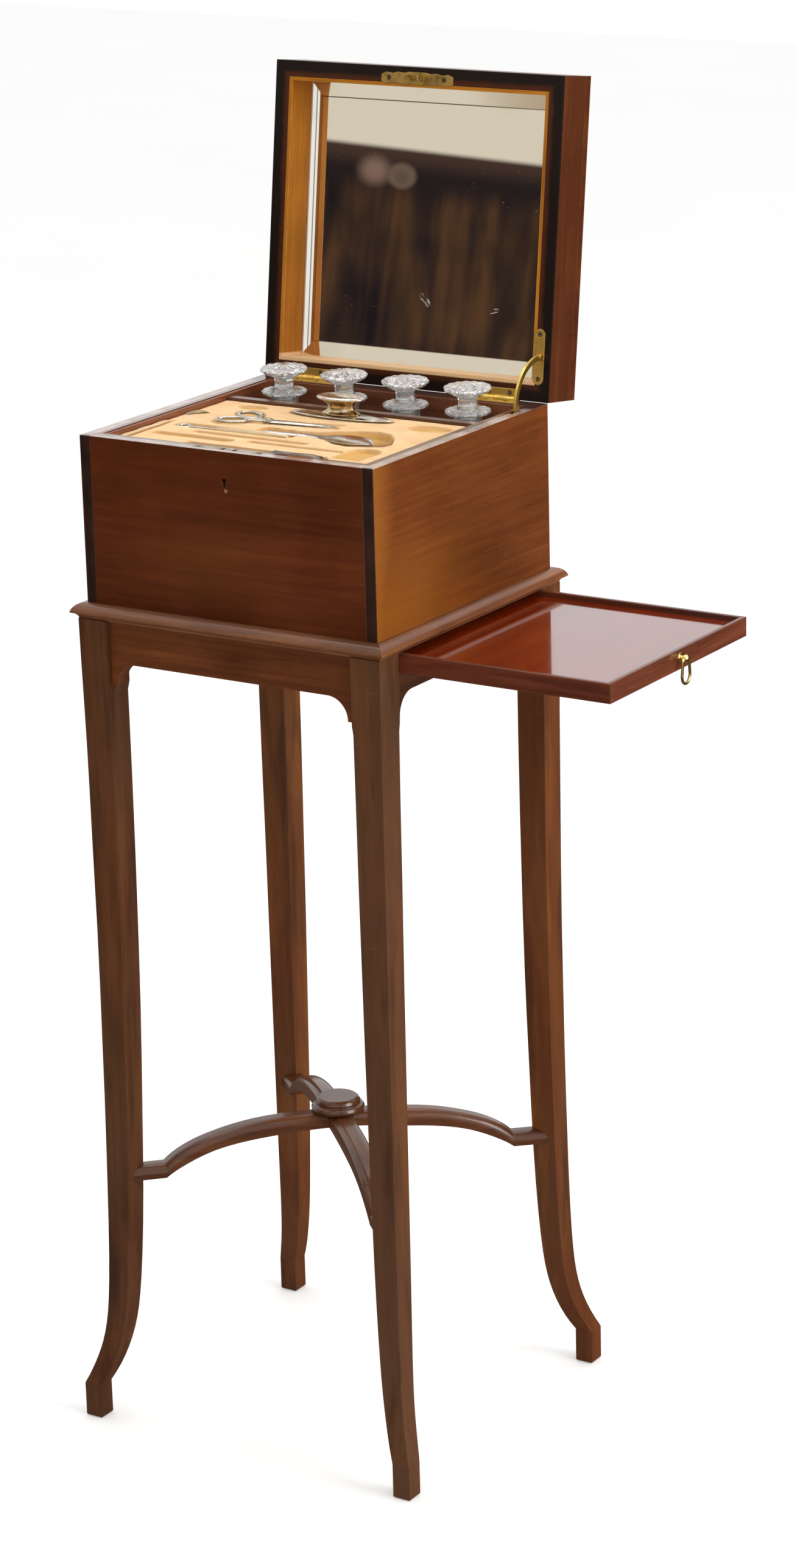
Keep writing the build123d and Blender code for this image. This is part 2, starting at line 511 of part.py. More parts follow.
BEV, BEV_D = 17.3, 1.7
glass = blk(-MX, MX, -MY, MY, ZM + BEV_D, ZM + 4.0)
bev = loft([Plane.XY.offset(ZM) * Rectangle(2 * (MX - BEV), 2 * (MY - BEV)), Plane.XY.offset(ZM + BEV_D) * Rectangle(2 * MX, 2 * MY)])
lid["mirror"] = glass + bev
lid["mirror_backboard"] = blk(-MX, MX, -MY, MY, ZM + 4.0, ZT)
lid["hinge_lid_leaves"] = Compound(children=lid_leaf)
lid["hinge_lid_screws"] = Compound(children=scr_lid)
OPEN = Axis((0, AX_Y, AX_Z), (1, 0, 0))
for k, v in lid.items():
    put(k, v.rotate(OPEN, -LID_OPEN))

# stay: a curved arm hung on the rivet, its free end in the mortise of the right wall
a0 = radians(90 - LID_OPEN + 90)                          # direction of the lid rim when open
ex_, ez_ = cos(a0), sin(a0)
nx_, nz_ = sin(a0), -cos(a0)
ry = AX_Y + ST_R * ex_ - (ST_P - GAP / 2) * nx_
rz = AX_Z + ST_R * ez_ - (ST_P - GAP / 2) * nz_
RAD = hypot(ry - AX_Y, rz - AX_Z)
ang_a = degrees(atan2(rz - AX_Z, ry - AX_Y))
ang_b = 187.5
print("stay rivet", round(ry, 3), round(rz, 3), "radius", round(RAD, 3), "from", round(ang_a, 2))


def arcband(r0, r1, a, b, x0, x1):
    def p(r, t):
        return (x0, AX_Y + r * cos(radians(t)), AX_Z + r * sin(radians(t)))
    m = (a + b) / 2
    e = [ThreePointArc(p(r1, a), p(r1, m), p(r1, b)), Line(p(r1, b), p(r0, b)),
         ThreePointArc(p(r0, b), p(r0, m), p(r0, a)), Line(p(r0, a), p(r1, a))]
    return extrude(make_face(e), amount=x1 - x0, dir=(1, 0, 0))


sx0, sx1 = ST_X - STH / 2, ST_X + STH / 2
stay = arcband(RAD - 2.4, RAD + 2.4, ang_a + 3, ang_b, sx0, sx1) + cylx(2.6, sx0, sx1, ry, rz)
ye, ze = AX_Y + RAD * cos(radians(ang_b)), AX_Z + RAD * sin(radians(ang_b))
stay = stay + cylx(2.4, sx0, sx1, ye, ze)
stay = stay - cylx(1.05, sx0 - 1, sx1 + 1, ry, rz)
put("lid_stay", stay)

# mortise for the stay in the right wall (closed by the lining and the wall, open at the rim)
MS = 2.65
right = right - blk(ST_X - MS, ST_X + MS, 93.4, 139.6, 876.5, 931.0) - blk(ST_X - MS, ST_X + MS, 93.4, 109.4, 930.0, Z_RIM + 1)
put("box_front", front)
put("box_left", left)
put("box_right", right)
put("box_back", back)
put("box_bottom", bottom)
put("hinge_box_leaves", Compound(children=box_leaf))
put("hinge_pins", Compound(children=pins))
put("hinge_box_screws", Compound(children=scr_box))

# ------------------------------------------------------------ box linings and fittings
ZF = ZB0 + 10
ZLN = Z_RIM - 0.8
put("lining_left", blk(-IX, -IX + LIN, -IY, IY, ZF, ZLN))
put("lining_right", blk(IX - LIN, IX, -IY, IY, ZF, ZLN))
put("lining_front", blk(-IX + LIN, IX - LIN, -IY, -IY + LIN, ZF, ZLN))
put("lining_back", blk(-IX + LIN, IX - LIN, IY - LIN, IY, ZF, ZLN))
CX, CY0, CY1 = IX - LIN, -IY + LIN, IY - LIN              # clear inside
RAIL_Y0, RAIL_Y1, RAIL_Z = 55.0, 63.0, 935.0
put("bottle_rail", blk(-CX, CX, RAIL_Y0, RAIL_Y1, ZF, RAIL_Z))
PITCH = 65.6
put("bottle_partitions", Compound(children=[blk(k * PITCH - 1.5, k * PITCH + 1.5, RAIL_Y1, CY1, ZF, 905.0) for k in (-1, 0, 1)]))
for nm, s in (("left", -1), ("right", 1)):
    put("tray_bearer_" + nm, blk(s * (CX - 6.5), s * CX, CY0, RAIL_Y0, 899.0, 908.0 - GAP))

# ------------------------------------------------------------ bottles and stoppers
BY = 96.5
LIP_Z = 938.5
NECK_R = 8.2


def bottle(cx):
    body = Pos(cx, BY, (ZF + 912) / 2) * Box(61, 56, 912 - ZF)
    vert = [e for e in body.edges() if e.length > 100]
    body = fillet(vert, 9.0)
    top = body.faces().sort_by(Axis.Z)[-1]
    body = chamfer(top.edges(), 5.5)
    neck = turned([(19.0, 910.0), (17.0, 914.5), (13.6, 918.0), (13.0, 921.0), (13.0, 930.5), (15.5, 932.4), (20.0, 933.6), (21.0, 935.0),
                   (21.0, 936.8), (19.4, 938.2), (17.5, LIP_Z)], cx, BY)
    b = body + neck
    cav = Pos(cx, BY, (ZF + 6 + 905) / 2) * Box(51, 46, 905 - ZF - 6)
    cav = fillet([e for e in cav.edges() if e.length > 90], 5.0)
    return b - cav - cyl(NECK_R, cx, BY, 900, 945)


def stopper(cx):
    return turned([(7.2, 916.0), (NECK_R - 0.08, 918.0), (NECK_R - 0.08, LIP_Z + 0.3), (9.8, LIP_Z + 0.3), (9.4, 941.0), (9.0, 944.0), (9.4, 947.0),
                   (11.5, 949.5), (16.5, 952.4), (20.8, 954.8), (21.7, 956.0), (21.7, 957.2), (20.2, 958.6), (14.0, 960.2), (8.0, 960.9), (4.0, 961.0)], cx, BY)


for i, k in enumerate((-1.5, -0.5, 0.5, 1.5)):
    put("bottle_%d" % (i + 1), bottle(k * PITCH))
    put("stopper_%d" % (i + 1), stopper(k * PITCH))

# ------------------------------------------------------------ lift-out manicure tray
TX, TY0, TY1 = CX - 0.6, CY0 + 0.6, RAIL_Y0 - 0.6
TB = 908.0
PAD0 = 914.0
put("tray_board", blk(-TX, TX, TY0, TY1, TB, PAD0))
pad = blk(-TX, TX, TY0, TY1, PAD0, PAD_Z)


def slot(x0, x1, y, w, depth, ang=0.0, cy=None):
    L = x1 - x0
    s = Pos((x0 + x1) / 2, y, 0) * Rot(0, 0, ang) * SlotOverall(L, w)
    return extrude(Plane.XY.offset(PAD_Z - depth) * s, amount=depth + 5)


def oval(cx, cy, rx, ry_, depth, ang=0.0):
    return extrude(Plane.XY.offset(PAD_Z - depth) * (Pos(cx, cy) * Rot(0, 0, ang) * Ellipse(rx, ry_)), amount=depth + 5)


rec = [oval(3, 36.5, 55, 13.5, 7.0),                      # buffer
       oval(-93, 37, 15.5, 8.5, 3.0), oval(100, 29.5, 22, 12.5, 3.0),   # empty ovals
       slot(-118, 9, -49.0, 15.0, 8.0),                  # hook
       slot(-86, 36, -67.5, 8.0, 5.0),
       slot(-117, -30, -85, 11.0, 5.0), slot(-19, 81, -81.5, 7.5, 5.0),
       slot(-68, 84, -110, 14.0, 7.0),                    # file
       slot(-163, -89, -76, 5.0, 3.0, 90.0),
       plan([(82, -104), (112, -104), (113, -74), (109.5, -66), (103, -61.5), (92, -61.5), (85.5, -66), (82, -74)], PAD_Z - 5, PAD_Z + 5)]
# scissors: a recess under both finger loops and a narrower one under the blades
SCP = (-44.0, -8.5)                                       # scissors pivot
LOOP_A, LOOP_B, TIP_A, TIP_B = (-79.0, 12.0), (-76.5, -20.5), (24.0, -6.6), (23.6, -4.0)
rec.append(oval(LOOP_A[0], LOOP_A[1], 18.0, 12.5, 2.1, -28.0))
rec.append(oval(LOOP_B[0], LOOP_B[1], 18.0, 12.5, 2.1, 18.0))
rec.append(plan([(-70, 10), (-60, 9), (-44, 1), (21, 11.5), (25, 8), (19, 2), (28, -3), (28, -7.5), (-36, -16), (-58, -20), (-66, -14), (-58, -6)][::-1], PAD_Z - 2.1, PAD_Z + 5))
# shoehorn: narrow for the handle, then a wide bowl
rec.append(plan([(-38, -28), (-34, -25), (0, -27), (15, -24), (33, -13), (48, -4.5), (66, 0.5), (80, -3.5), (93, -18), (104, -40), (101, -49), (90, -54.5), (71, -61), (55, -57),
                 (39, -46.5), (22, -42.5), (0, -45.5), (-32, -46), (-38, -43)][::-1], PAD_Z - 7.0, PAD_Z + 5))
for r in rec:
    pad = pad - r
# an oval or slot that cut into two would leave a loose sliver; keep the pad itself
pad = biggest(pad)
put("tray_pad", pad)

# nail buffer: polishing pad, boat-shaped base, grip
BCX, BCY = 3.0, 36.5


def boat(rx, ry_, z0, z1, k=1.0):
    n = 24
    pts = []
    for i in range(n):
        t = 2 * pi * i / n
        c, s = cos(t), sin(t)
        x = rx * (abs(c) ** 0.92) * (1 if c >= 0 else -1)
        y = ry_ * (abs(s) ** 1.35) * (1 if s >= 0 else -1)
        pts.append((BCX + x, BCY + y))
    e = Spline(*[(x, y, z0) for x, y in pts], periodic=True)
    return extrude(make_face(e), amount=z1 - z0, dir=(0, 0, 1))


put("buffer_pad", boat(49, 10.0, 926.2, 932.6))
put("buffer_base", boat(53.5, 12.6, 932.6, 936.2))


def ell(rx, ry_, z):
    return Plane.XY.offset(z) * (Pos(BCX, BCY) * Ellipse(rx, ry_))


grip = loft([ell(19, 10.5, 936.2), ell(15.2, 8.4, 938.4), ell(13.2, 7.4, 942.0), ell(15.4, 8.8, 945.6), ell(21.0, 12.4, 948.6), ell(24.2, 14.6, 950.4)])
cap = loft([ell(24.2, 14.6, 950.4), ell(23.4, 14.0, 951.8), ell(18.5, 10.8, 953.2), ell(9.0, 5.2, 954.0)])
put("buffer_grip", grip + cap)

# scissors: two halves on one pivot screw
SZ0, STK = PAD_Z - 2.1, 2.0                               # the lower half lies in its recess, the upper half just above the pad


def bar(p, q, w0, w1, z0, z1):
    dx, dy = q[0] - p[0], q[1] - p[1]
    L = hypot(dx, dy)
    nx, ny = -dy / L, dx / L
    return plan([(p[0] + nx * w0 / 2, p[1] + ny * w0 / 2), (q[0] + nx * w1 / 2, q[1] + ny * w1 / 2),
                 (q[0] - nx * w1 / 2, q[1] - ny * w1 / 2), (p[0] - nx * w0 / 2, p[1] - ny * w0 / 2)][::-1], z0, z1)


def ring(c, rx, ry_, wdt, ang, z0, z1):
    o = Plane.XY.offset(z0) * (Pos(*c) * Rot(0, 0, ang) * Ellipse(rx, ry_))
    i = Plane.XY.offset(z0) * (Pos(*c) * Rot(0, 0, ang) * Ellipse(rx - wdt, ry_ - wdt))
    return extrude(o, amount=z1 - z0) - extrude(i, amount=z1 - z0)


def half_scissors(loop_c, loop_ang, tip, z0):
    z1 = z0 + STK
    s = ring(loop_c, 15.5, 10.5, 2.6, loop_ang, z0, z1)
    dx, dy = SCP[0] - loop_c[0], SCP[1] - loop_c[1]
    L = hypot(dx, dy)
    st = (loop_c[0] + dx / L * 14.2, loop_c[1] + dy / L * 14.2)
    s = s + bar(st, SCP, 3.6, 6.4, z0, z1)
    s = s + cyl(4.0, SCP[0], SCP[1], z0, z1)
    s = s + bar(SCP, tip, 6.4, 1.4, z0, z1)
    return s


hA = half_scissors(LOOP_A, -28.0, TIP_A, SZ0)
hB = half_scissors(LOOP_B, 18.0, TIP_B, SZ0 + STK + 0.15)
scr = turned([(1.7, SZ0), (1.7, SZ0 + 2 * STK + 0.35), (2.9, SZ0 + 2 * STK + 0.35), (2.9, SZ0 + 2 * STK + 0.9), (2.0, SZ0 + 2 * STK + 1.3)], *SCP) \
    - blk(SCP[0] - 3, SCP[0] + 3, SCP[1] - 0.3, SCP[1] + 0.3, SZ0 + 2 * STK + 0.95, SZ0 + 2 * STK + 2)
# the recess follows the lower half with a little room all round
sd_, sl0 = SZ0 - 0.15, hypot(SCP[0] - LOOP_A[0], SCP[1] - LOOP_A[1])
su = ((SCP[0] - LOOP_A[0]) / sl0, (SCP[1] - LOOP_A[1]) / sl0)
su0 = (LOOP_A[0] + su[0] * 12.5, LOOP_A[1] + su[1] * 12.5)
tl0 = hypot(TIP_A[0] - SCP[0], TIP_A[1] - SCP[1])
tu1 = (TIP_A[0] + (TIP_A[0] - SCP[0]) / tl0 * 1.5, TIP_A[1] + (TIP_A[1] - SCP[1]) / tl0 * 1.5)
for room in (bar(su0, SCP, 5.6, 8.0, sd_, PAD_Z + 5), cyl(5.0, SCP[0], SCP[1], sd_, PAD_Z + 5), bar(SCP, tu1, 8.0, 3.2, sd_, PAD_Z + 5),
             extrude(Plane.XY.offset(sd_) * (Pos(*LOOP_A) * Rot(0, 0, -28.0) * Ellipse(16.6, 11.6)), amount=8)):
    nodes["tray_pad"] = nodes["tray_pad"] - room
nodes["tray_pad"] = biggest(nodes["tray_pad"])
put("scissors_lower_half", hA + scr)                      # its pivot stud is riveted in
put("scissors_upper_half", hB - cyl(1.76, SCP[0], SCP[1], SZ0 - 1, SZ0 + 2 * STK + 3))
# shoehorn: one bent plate, narrow handle and dished bowl
sh_pts = [(-30, -36.6), (-26, -35.2), (-10, -34.6), (10, -32.0), (25, -29.2), (38, -26.0), (54, -25.2), (69, -27.2), (81, -33.5), (86.5, -41.5), (84, -50.0), (76, -54.6),
          (62, -55.4), (48, -51.0), (36, -44.6), (25, -40.2), (10, -39.4), (-10, -41.0), (-26, -41.9), (-30, -40.6)]
shoe = plan(sh_pts[::-1], PAD_Z - 2.2, PAD_Z - 0.6)
put("shoehorn", shoe)

# button hook: steel shaft with an eye, bone handle
HKY = -49.0
hz = PAD_Z - 2.0
shaft = cylx(1.3, -103.5, -74.0, HKY, hz) + (Pos(-108.5, HKY, hz) * Torus(5.4, 1.3))
put("hook_shaft", shaft)
hd = Pos(-74.0, HKY, hz) * Rot(0, 90, 0) * spun([(0, 0), (2.2, 0), (2.8, 3), (3.0, 12), (3.3, 40), (3.0, 66), (2.2, 76), (0, 78)])
put("hook_handle", hd)

# nail file: steel blade and dark handle
FY = -110.0
fz = PAD_Z - 2.2
put("file_blade", plan([(-62, FY - 1.2), (-56, FY - 3.0), (28, FY - 4.0), (28, FY + 4.0), (-56, FY + 3.0), (-62, FY + 1.2)], fz - 0.8, fz + 0.8))
fh = Pos(28.0, FY, fz) * Rot(0, 90, 0) * spun([(0, 0), (3.6, 0), (4.4, 2), (4.2, 20), (4.7, 40), (3.8, 50), (0, 52)])
put("file_handle", fh)

# ------------------------------------------------------------ group identical or companion pieces
GROUPS = {
    "aprons_front_back": ["apron_front", "apron_back"],
    "slide_guides": ["slide_runner_front", "slide_runner_back", "slide_guide_front", "slide_guide_back"],
    "stand_moulding": ["moulding_front", "moulding_back", "moulding_left", "moulding_right"],
    "slide_edging": ["slide_edge_front", "slide_edge_back", "slide_edge_outer", "slide_edge_inner"],
    "corner_strips": ["corner_strip_left", "corner_strip_right"],
    "box_and_boss_screws": ["boss_screw", "lock_screws", "hinge_box_screws"],
    "lid_screws_and_rivet": ["link_plate_screws", "stay_plate_screws", "hinge_lid_screws", "stay_rivet"],
    "lid_sides": ["lid_left", "lid_right"],
    "lid_lining": ["lid_lining_left", "lid_lining_right", "lid_lining_front", "lid_lining_back"],
    "box_lining": ["lining_left", "lining_right", "lining_front", "lining_back"],
    "bottle_divider": ["bottle_rail", "bottle_partitions"],
    "tray_bearers": ["tray_bearer_left", "tray_bearer_right"],
    "bottles": ["bottle_1", "bottle_2", "bottle_3", "bottle_4"],
    "hook_and_file_steel": ["hook_shaft", "file_blade"],
    "hook_and_file_handles": ["hook_handle", "file_handle"],
}
for name, members in GROUPS.items():
    group = []
    for m in members:
        group += list(nodes.pop(m).solids())
    nodes[name] = Compound(children=group)

# ------------------------------------------------------------ write
print("outline of all pieces", Compound(children=[s for v in nodes.values() for s in v.solids()]).bounding_box())
for name, shape in nodes.items():
    so = [Pos(-REF_X, -REF_Y, 0) * s for s in shape.solids()]
    out = so[0] if len(so) == 1 else Compound(children=so)
    export_step(out, "parts/%s.step" % name)
print(len(nodes), "nodes written")
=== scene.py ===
import math
import bpy
import bmesh
import numpy as np
from math import sin, cos, pi, radians
from mathutils import Vector, Matrix, noise as mnoise


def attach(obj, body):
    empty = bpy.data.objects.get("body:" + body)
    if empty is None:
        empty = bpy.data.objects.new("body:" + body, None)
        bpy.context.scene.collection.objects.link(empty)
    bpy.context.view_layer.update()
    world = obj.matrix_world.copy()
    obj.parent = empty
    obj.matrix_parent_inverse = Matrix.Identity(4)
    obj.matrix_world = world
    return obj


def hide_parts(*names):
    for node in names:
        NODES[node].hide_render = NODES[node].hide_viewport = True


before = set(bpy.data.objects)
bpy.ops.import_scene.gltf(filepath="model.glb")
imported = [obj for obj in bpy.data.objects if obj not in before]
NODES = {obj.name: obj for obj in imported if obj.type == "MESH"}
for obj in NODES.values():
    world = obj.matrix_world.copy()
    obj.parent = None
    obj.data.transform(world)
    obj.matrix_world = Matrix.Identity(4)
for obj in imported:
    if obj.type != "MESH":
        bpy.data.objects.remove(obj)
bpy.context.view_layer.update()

scene = bpy.context.scene

# Everything is set out from the middle of the stand in millimetres, and shifted by REF into the row frame.
REF = np.array([96.9, 29.02, 0.0])
HINGE_Y, HINGE_Z = 144.5, 938.15
OPEN = radians(97.44)


def row(p):
    """Millimetres from the middle of the stand -> metres in the row frame."""
    return tuple((np.array(p, float) - REF) / 1000.0)


# ------------------------------------------------------------------ camera
def make_camera():
    z = Vector((0.5182, -0.8017, 0.2979)).normalized()
    up = Vector((0, 0, 1))
    x = up.cross(z).normalized()
    y = z.cross(x)
    roll = radians(-1.5457)
    c, s = cos(roll), sin(roll)
    x2 = x * c + y * s
    y2 = y * c - x * s
    cam = bpy.data.cameras.new("photo_camera")
    cam.sensor_fit = "AUTO"
    cam.sensor_width = 36.0
    cam.lens = 6759.17 / 2576 * 36.0
    cam.shift_x = -(653.0 - 653.5) / 2576
    cam.shift_y = (1288.0 - 1288.0) / 2576
    cam.clip_start, cam.clip_end = 0.05, 60.0
    cam.dof.use_dof = False
    ob = bpy.data.objects.new("photo_camera", cam)
    scene.collection.objects.link(ob)
    loc = Vector(row((1991.15, -2963.37, 1712.0)))
    ob.matrix_world = Matrix(((x2.x, y2.x, z.x, loc.x), (x2.y, y2.y, z.y, loc.y), (x2.z, y2.z, z.z, loc.z), (0, 0, 0, 1)))
    scene.camera = ob


make_camera()


# ------------------------------------------------------------------ node helper
class Mat:
    """A small builder for procedural materials."""

    def __init__(self, name):
        self.m = bpy.data.materials.new(name)
        self.m.use_nodes = True
        self.t = self.m.node_tree
        self.t.nodes.clear()
        self.out = self.t.nodes.new("ShaderNodeOutputMaterial")
        self.b = self.t.nodes.new("ShaderNodeBsdfPrincipled")
        self.t.links.new(self.b.outputs[0], self.out.inputs["Surface"])

    def new(self, kind, **kw):
        n = self.t.nodes.new(kind)
        for k, v in kw.items():
            setattr(n, k, v)
        return n

    def put(self, sock, v):
        if isinstance(v, bpy.types.NodeSocket):
            self.t.links.new(v, sock)
        elif v is not None:
            if isinstance(v, (tuple, list)) and sock.type == "RGBA" and len(v) == 3:
                v = (*v, 1.0)
            sock.default_value = v

    def set(self, **kw):
        names = {"color": "Base Color", "metal": "Metallic", "rough": "Roughness", "ior": "IOR", "alpha": "Alpha", "normal": "Normal",
                 "coat": "Coat Weight", "coat_rough": "Coat Roughness", "coat_ior": "Coat IOR", "spec": "Specular IOR Level",
                 "sheen": "Sheen Weight", "sheen_rough": "Sheen Roughness", "sheen_tint": "Sheen Tint", "trans": "Transmission Weight",
                 "sub": "Subsurface Weight", "sub_radius": "Subsurface Radius", "sub_scale": "Subsurface Scale", "aniso": "Anisotropic",
                 "coat_normal": "Coat Normal", "spec_tint": "Specular Tint"}
        for k, v in kw.items():
            self.put(self.b.inputs[names[k]], v)

    def obj(self):
        """Object coordinates, moved to the middle of the stand, in metres."""
        tc = self.new("ShaderNodeTexCoord")
        mp = self.new("ShaderNodeMapping")
        self.put(mp.inputs["Vector"], tc.outputs["Object"])
        mp.inputs["Location"].default_value = tuple(REF / 1000.0)
        return mp.outputs[0]

    def mapped(self, v, scale=(1, 1, 1), rot=(0, 0, 0), loc=(0, 0, 0)):
        mp = self.new("ShaderNodeMapping")
        self.put(mp.inputs["Vector"], v)
        mp.inputs["Scale"].default_value = scale
        mp.inputs["Rotation"].default_value = rot
        mp.inputs["Location"].default_value = loc
        return mp.outputs[0]

    def lid(self):
        """Coordinates of the lid as if it were shut."""
        h = Vector((0, HINGE_Y / 1000, HINGE_Z / 1000))
        r = Matrix.Rotation(OPEN, 3, "X")
        loc = h - r @ h
        return self.mapped(self.obj(), rot=(OPEN, 0, 0), loc=tuple(loc))

    def noise(self, v, scale=1.0, detail=3.0, rough=0.55, dist=0.0, out=0):
        n = self.new("ShaderNodeTexNoise")
        self.put(n.inputs["Vector"], v)
        n.inputs["Scale"].default_value = scale
        n.inputs["Detail"].default_value = detail
        n.inputs["Roughness"].default_value = rough
        n.inputs["Distortion"].default_value = dist
        return n.outputs[out]

    def math(self, op, a, b=None, c=None, clamp=False):
        n = self.new("ShaderNodeMath", operation=op, use_clamp=clamp)
        self.put(n.inputs[0], a)
        if b is not None:
            self.put(n.inputs[1], b)
        if c is not None:
            self.put(n.inputs[2], c)
        return n.outputs[0]

    def rng(self, v, a, b, c=0.0, d=1.0, smooth=False):
        n = self.new("ShaderNodeMapRange", clamp=True, interpolation_type="SMOOTHSTEP" if smooth else "LINEAR")
        self.put(n.inputs["Value"], v)
        for k, x in (("From Min", a), ("From Max", b), ("To Min", c), ("To Max", d)):
            self.put(n.inputs[k], x)
        return n.outputs[0]

    def ramp(self, f, stops, interp="LINEAR"):
        n = self.new("ShaderNodeValToRGB")
        n.color_ramp.interpolation = interp
        el = n.color_ramp.elements
        while len(el) < len(stops):
            el.new(0.5)
        for e, (p, c) in zip(el, stops):
            e.position = p
            e.color = (*c, 1.0) if len(c) == 3 else c
        self.put(n.inputs[0], f)
        return n.outputs[0]

    def mix(self, f, a, b, mode="MIX"):
        n = self.new("ShaderNodeMix", data_type="RGBA", blend_type=mode, clamp_factor=True)
        self.put(n.inputs[0], f)
        self.put(n.inputs[6], a)
        self.put(n.inputs[7], b)
        return n.outputs[2]

    def vmix(self, f, a, b):
        n = self.new("ShaderNodeMix", data_type="VECTOR", clamp_factor=True)
        self.put(n.inputs[0], f)
        self.put(n.inputs[4], a)
        self.put(n.inputs[5], b)
        return n.outputs[1]

    def sep(self, v):
        n = self.new("ShaderNodeSeparateXYZ")
        self.put(n.inputs[0], v)
        return n.outputs

    def bump(self, h, strength=0.2, dist=0.0005, normal=None):
        n = self.new("ShaderNodeBump")
        n.inputs["Strength"].default_value = strength
        n.inputs["Distance"].default_value = dist
        self.put(n.inputs["Height"], h)
        if normal is not None:
            self.put(n.inputs["Normal"], normal)
        return n.outputs[0]

    def combine(self, x, y, z):
        n = self.new("ShaderNodeCombineXYZ")
        for i, v in enumerate((x, y, z)):
            self.put(n.inputs[i], v)
        return n.outputs[0]

    def to_world(self, v):
        n = self.new("ShaderNodeVectorTransform", vector_type="NORMAL", convert_from="OBJECT", convert_to="WORLD")
        self.put(n.inputs[0], v)
        return n.outputs[0]

    def edge(self, radius=0.0012, gain=7.0):
        """(0..1 mask along sharp edges, softened normal)."""
        bv = self.new("ShaderNodeBevel", samples=4)
        bv.inputs["Radius"].default_value = radius
        ge = self.new("ShaderNodeNewGeometry")
        d = self.new("ShaderNodeVectorMath", operation="DOT_PRODUCT")
        self.put(d.inputs[0], bv.outputs[0])
        self.put(d.inputs[1], ge.outputs["Normal"])
        k = self.math("SUBTRACT", 1.0, d.outputs["Value"])
        return self.math("MULTIPLY", k, gain, clamp=True), bv.outputs[0]


# ------------------------------------------------------------------ wood
def grain_vec(m, p, axis):
    """Coordinates with the grain running along the local x."""
    if axis == "X":
        return p
    if axis == "Y":
        return m.mapped(p, rot=(0, 0, -pi / 2))
    if axis == "Z":
        return m.mapped(p, rot=(0, pi / 2, 0))
    return m.mapped(p, rot=(0, 0, -radians(axis)))


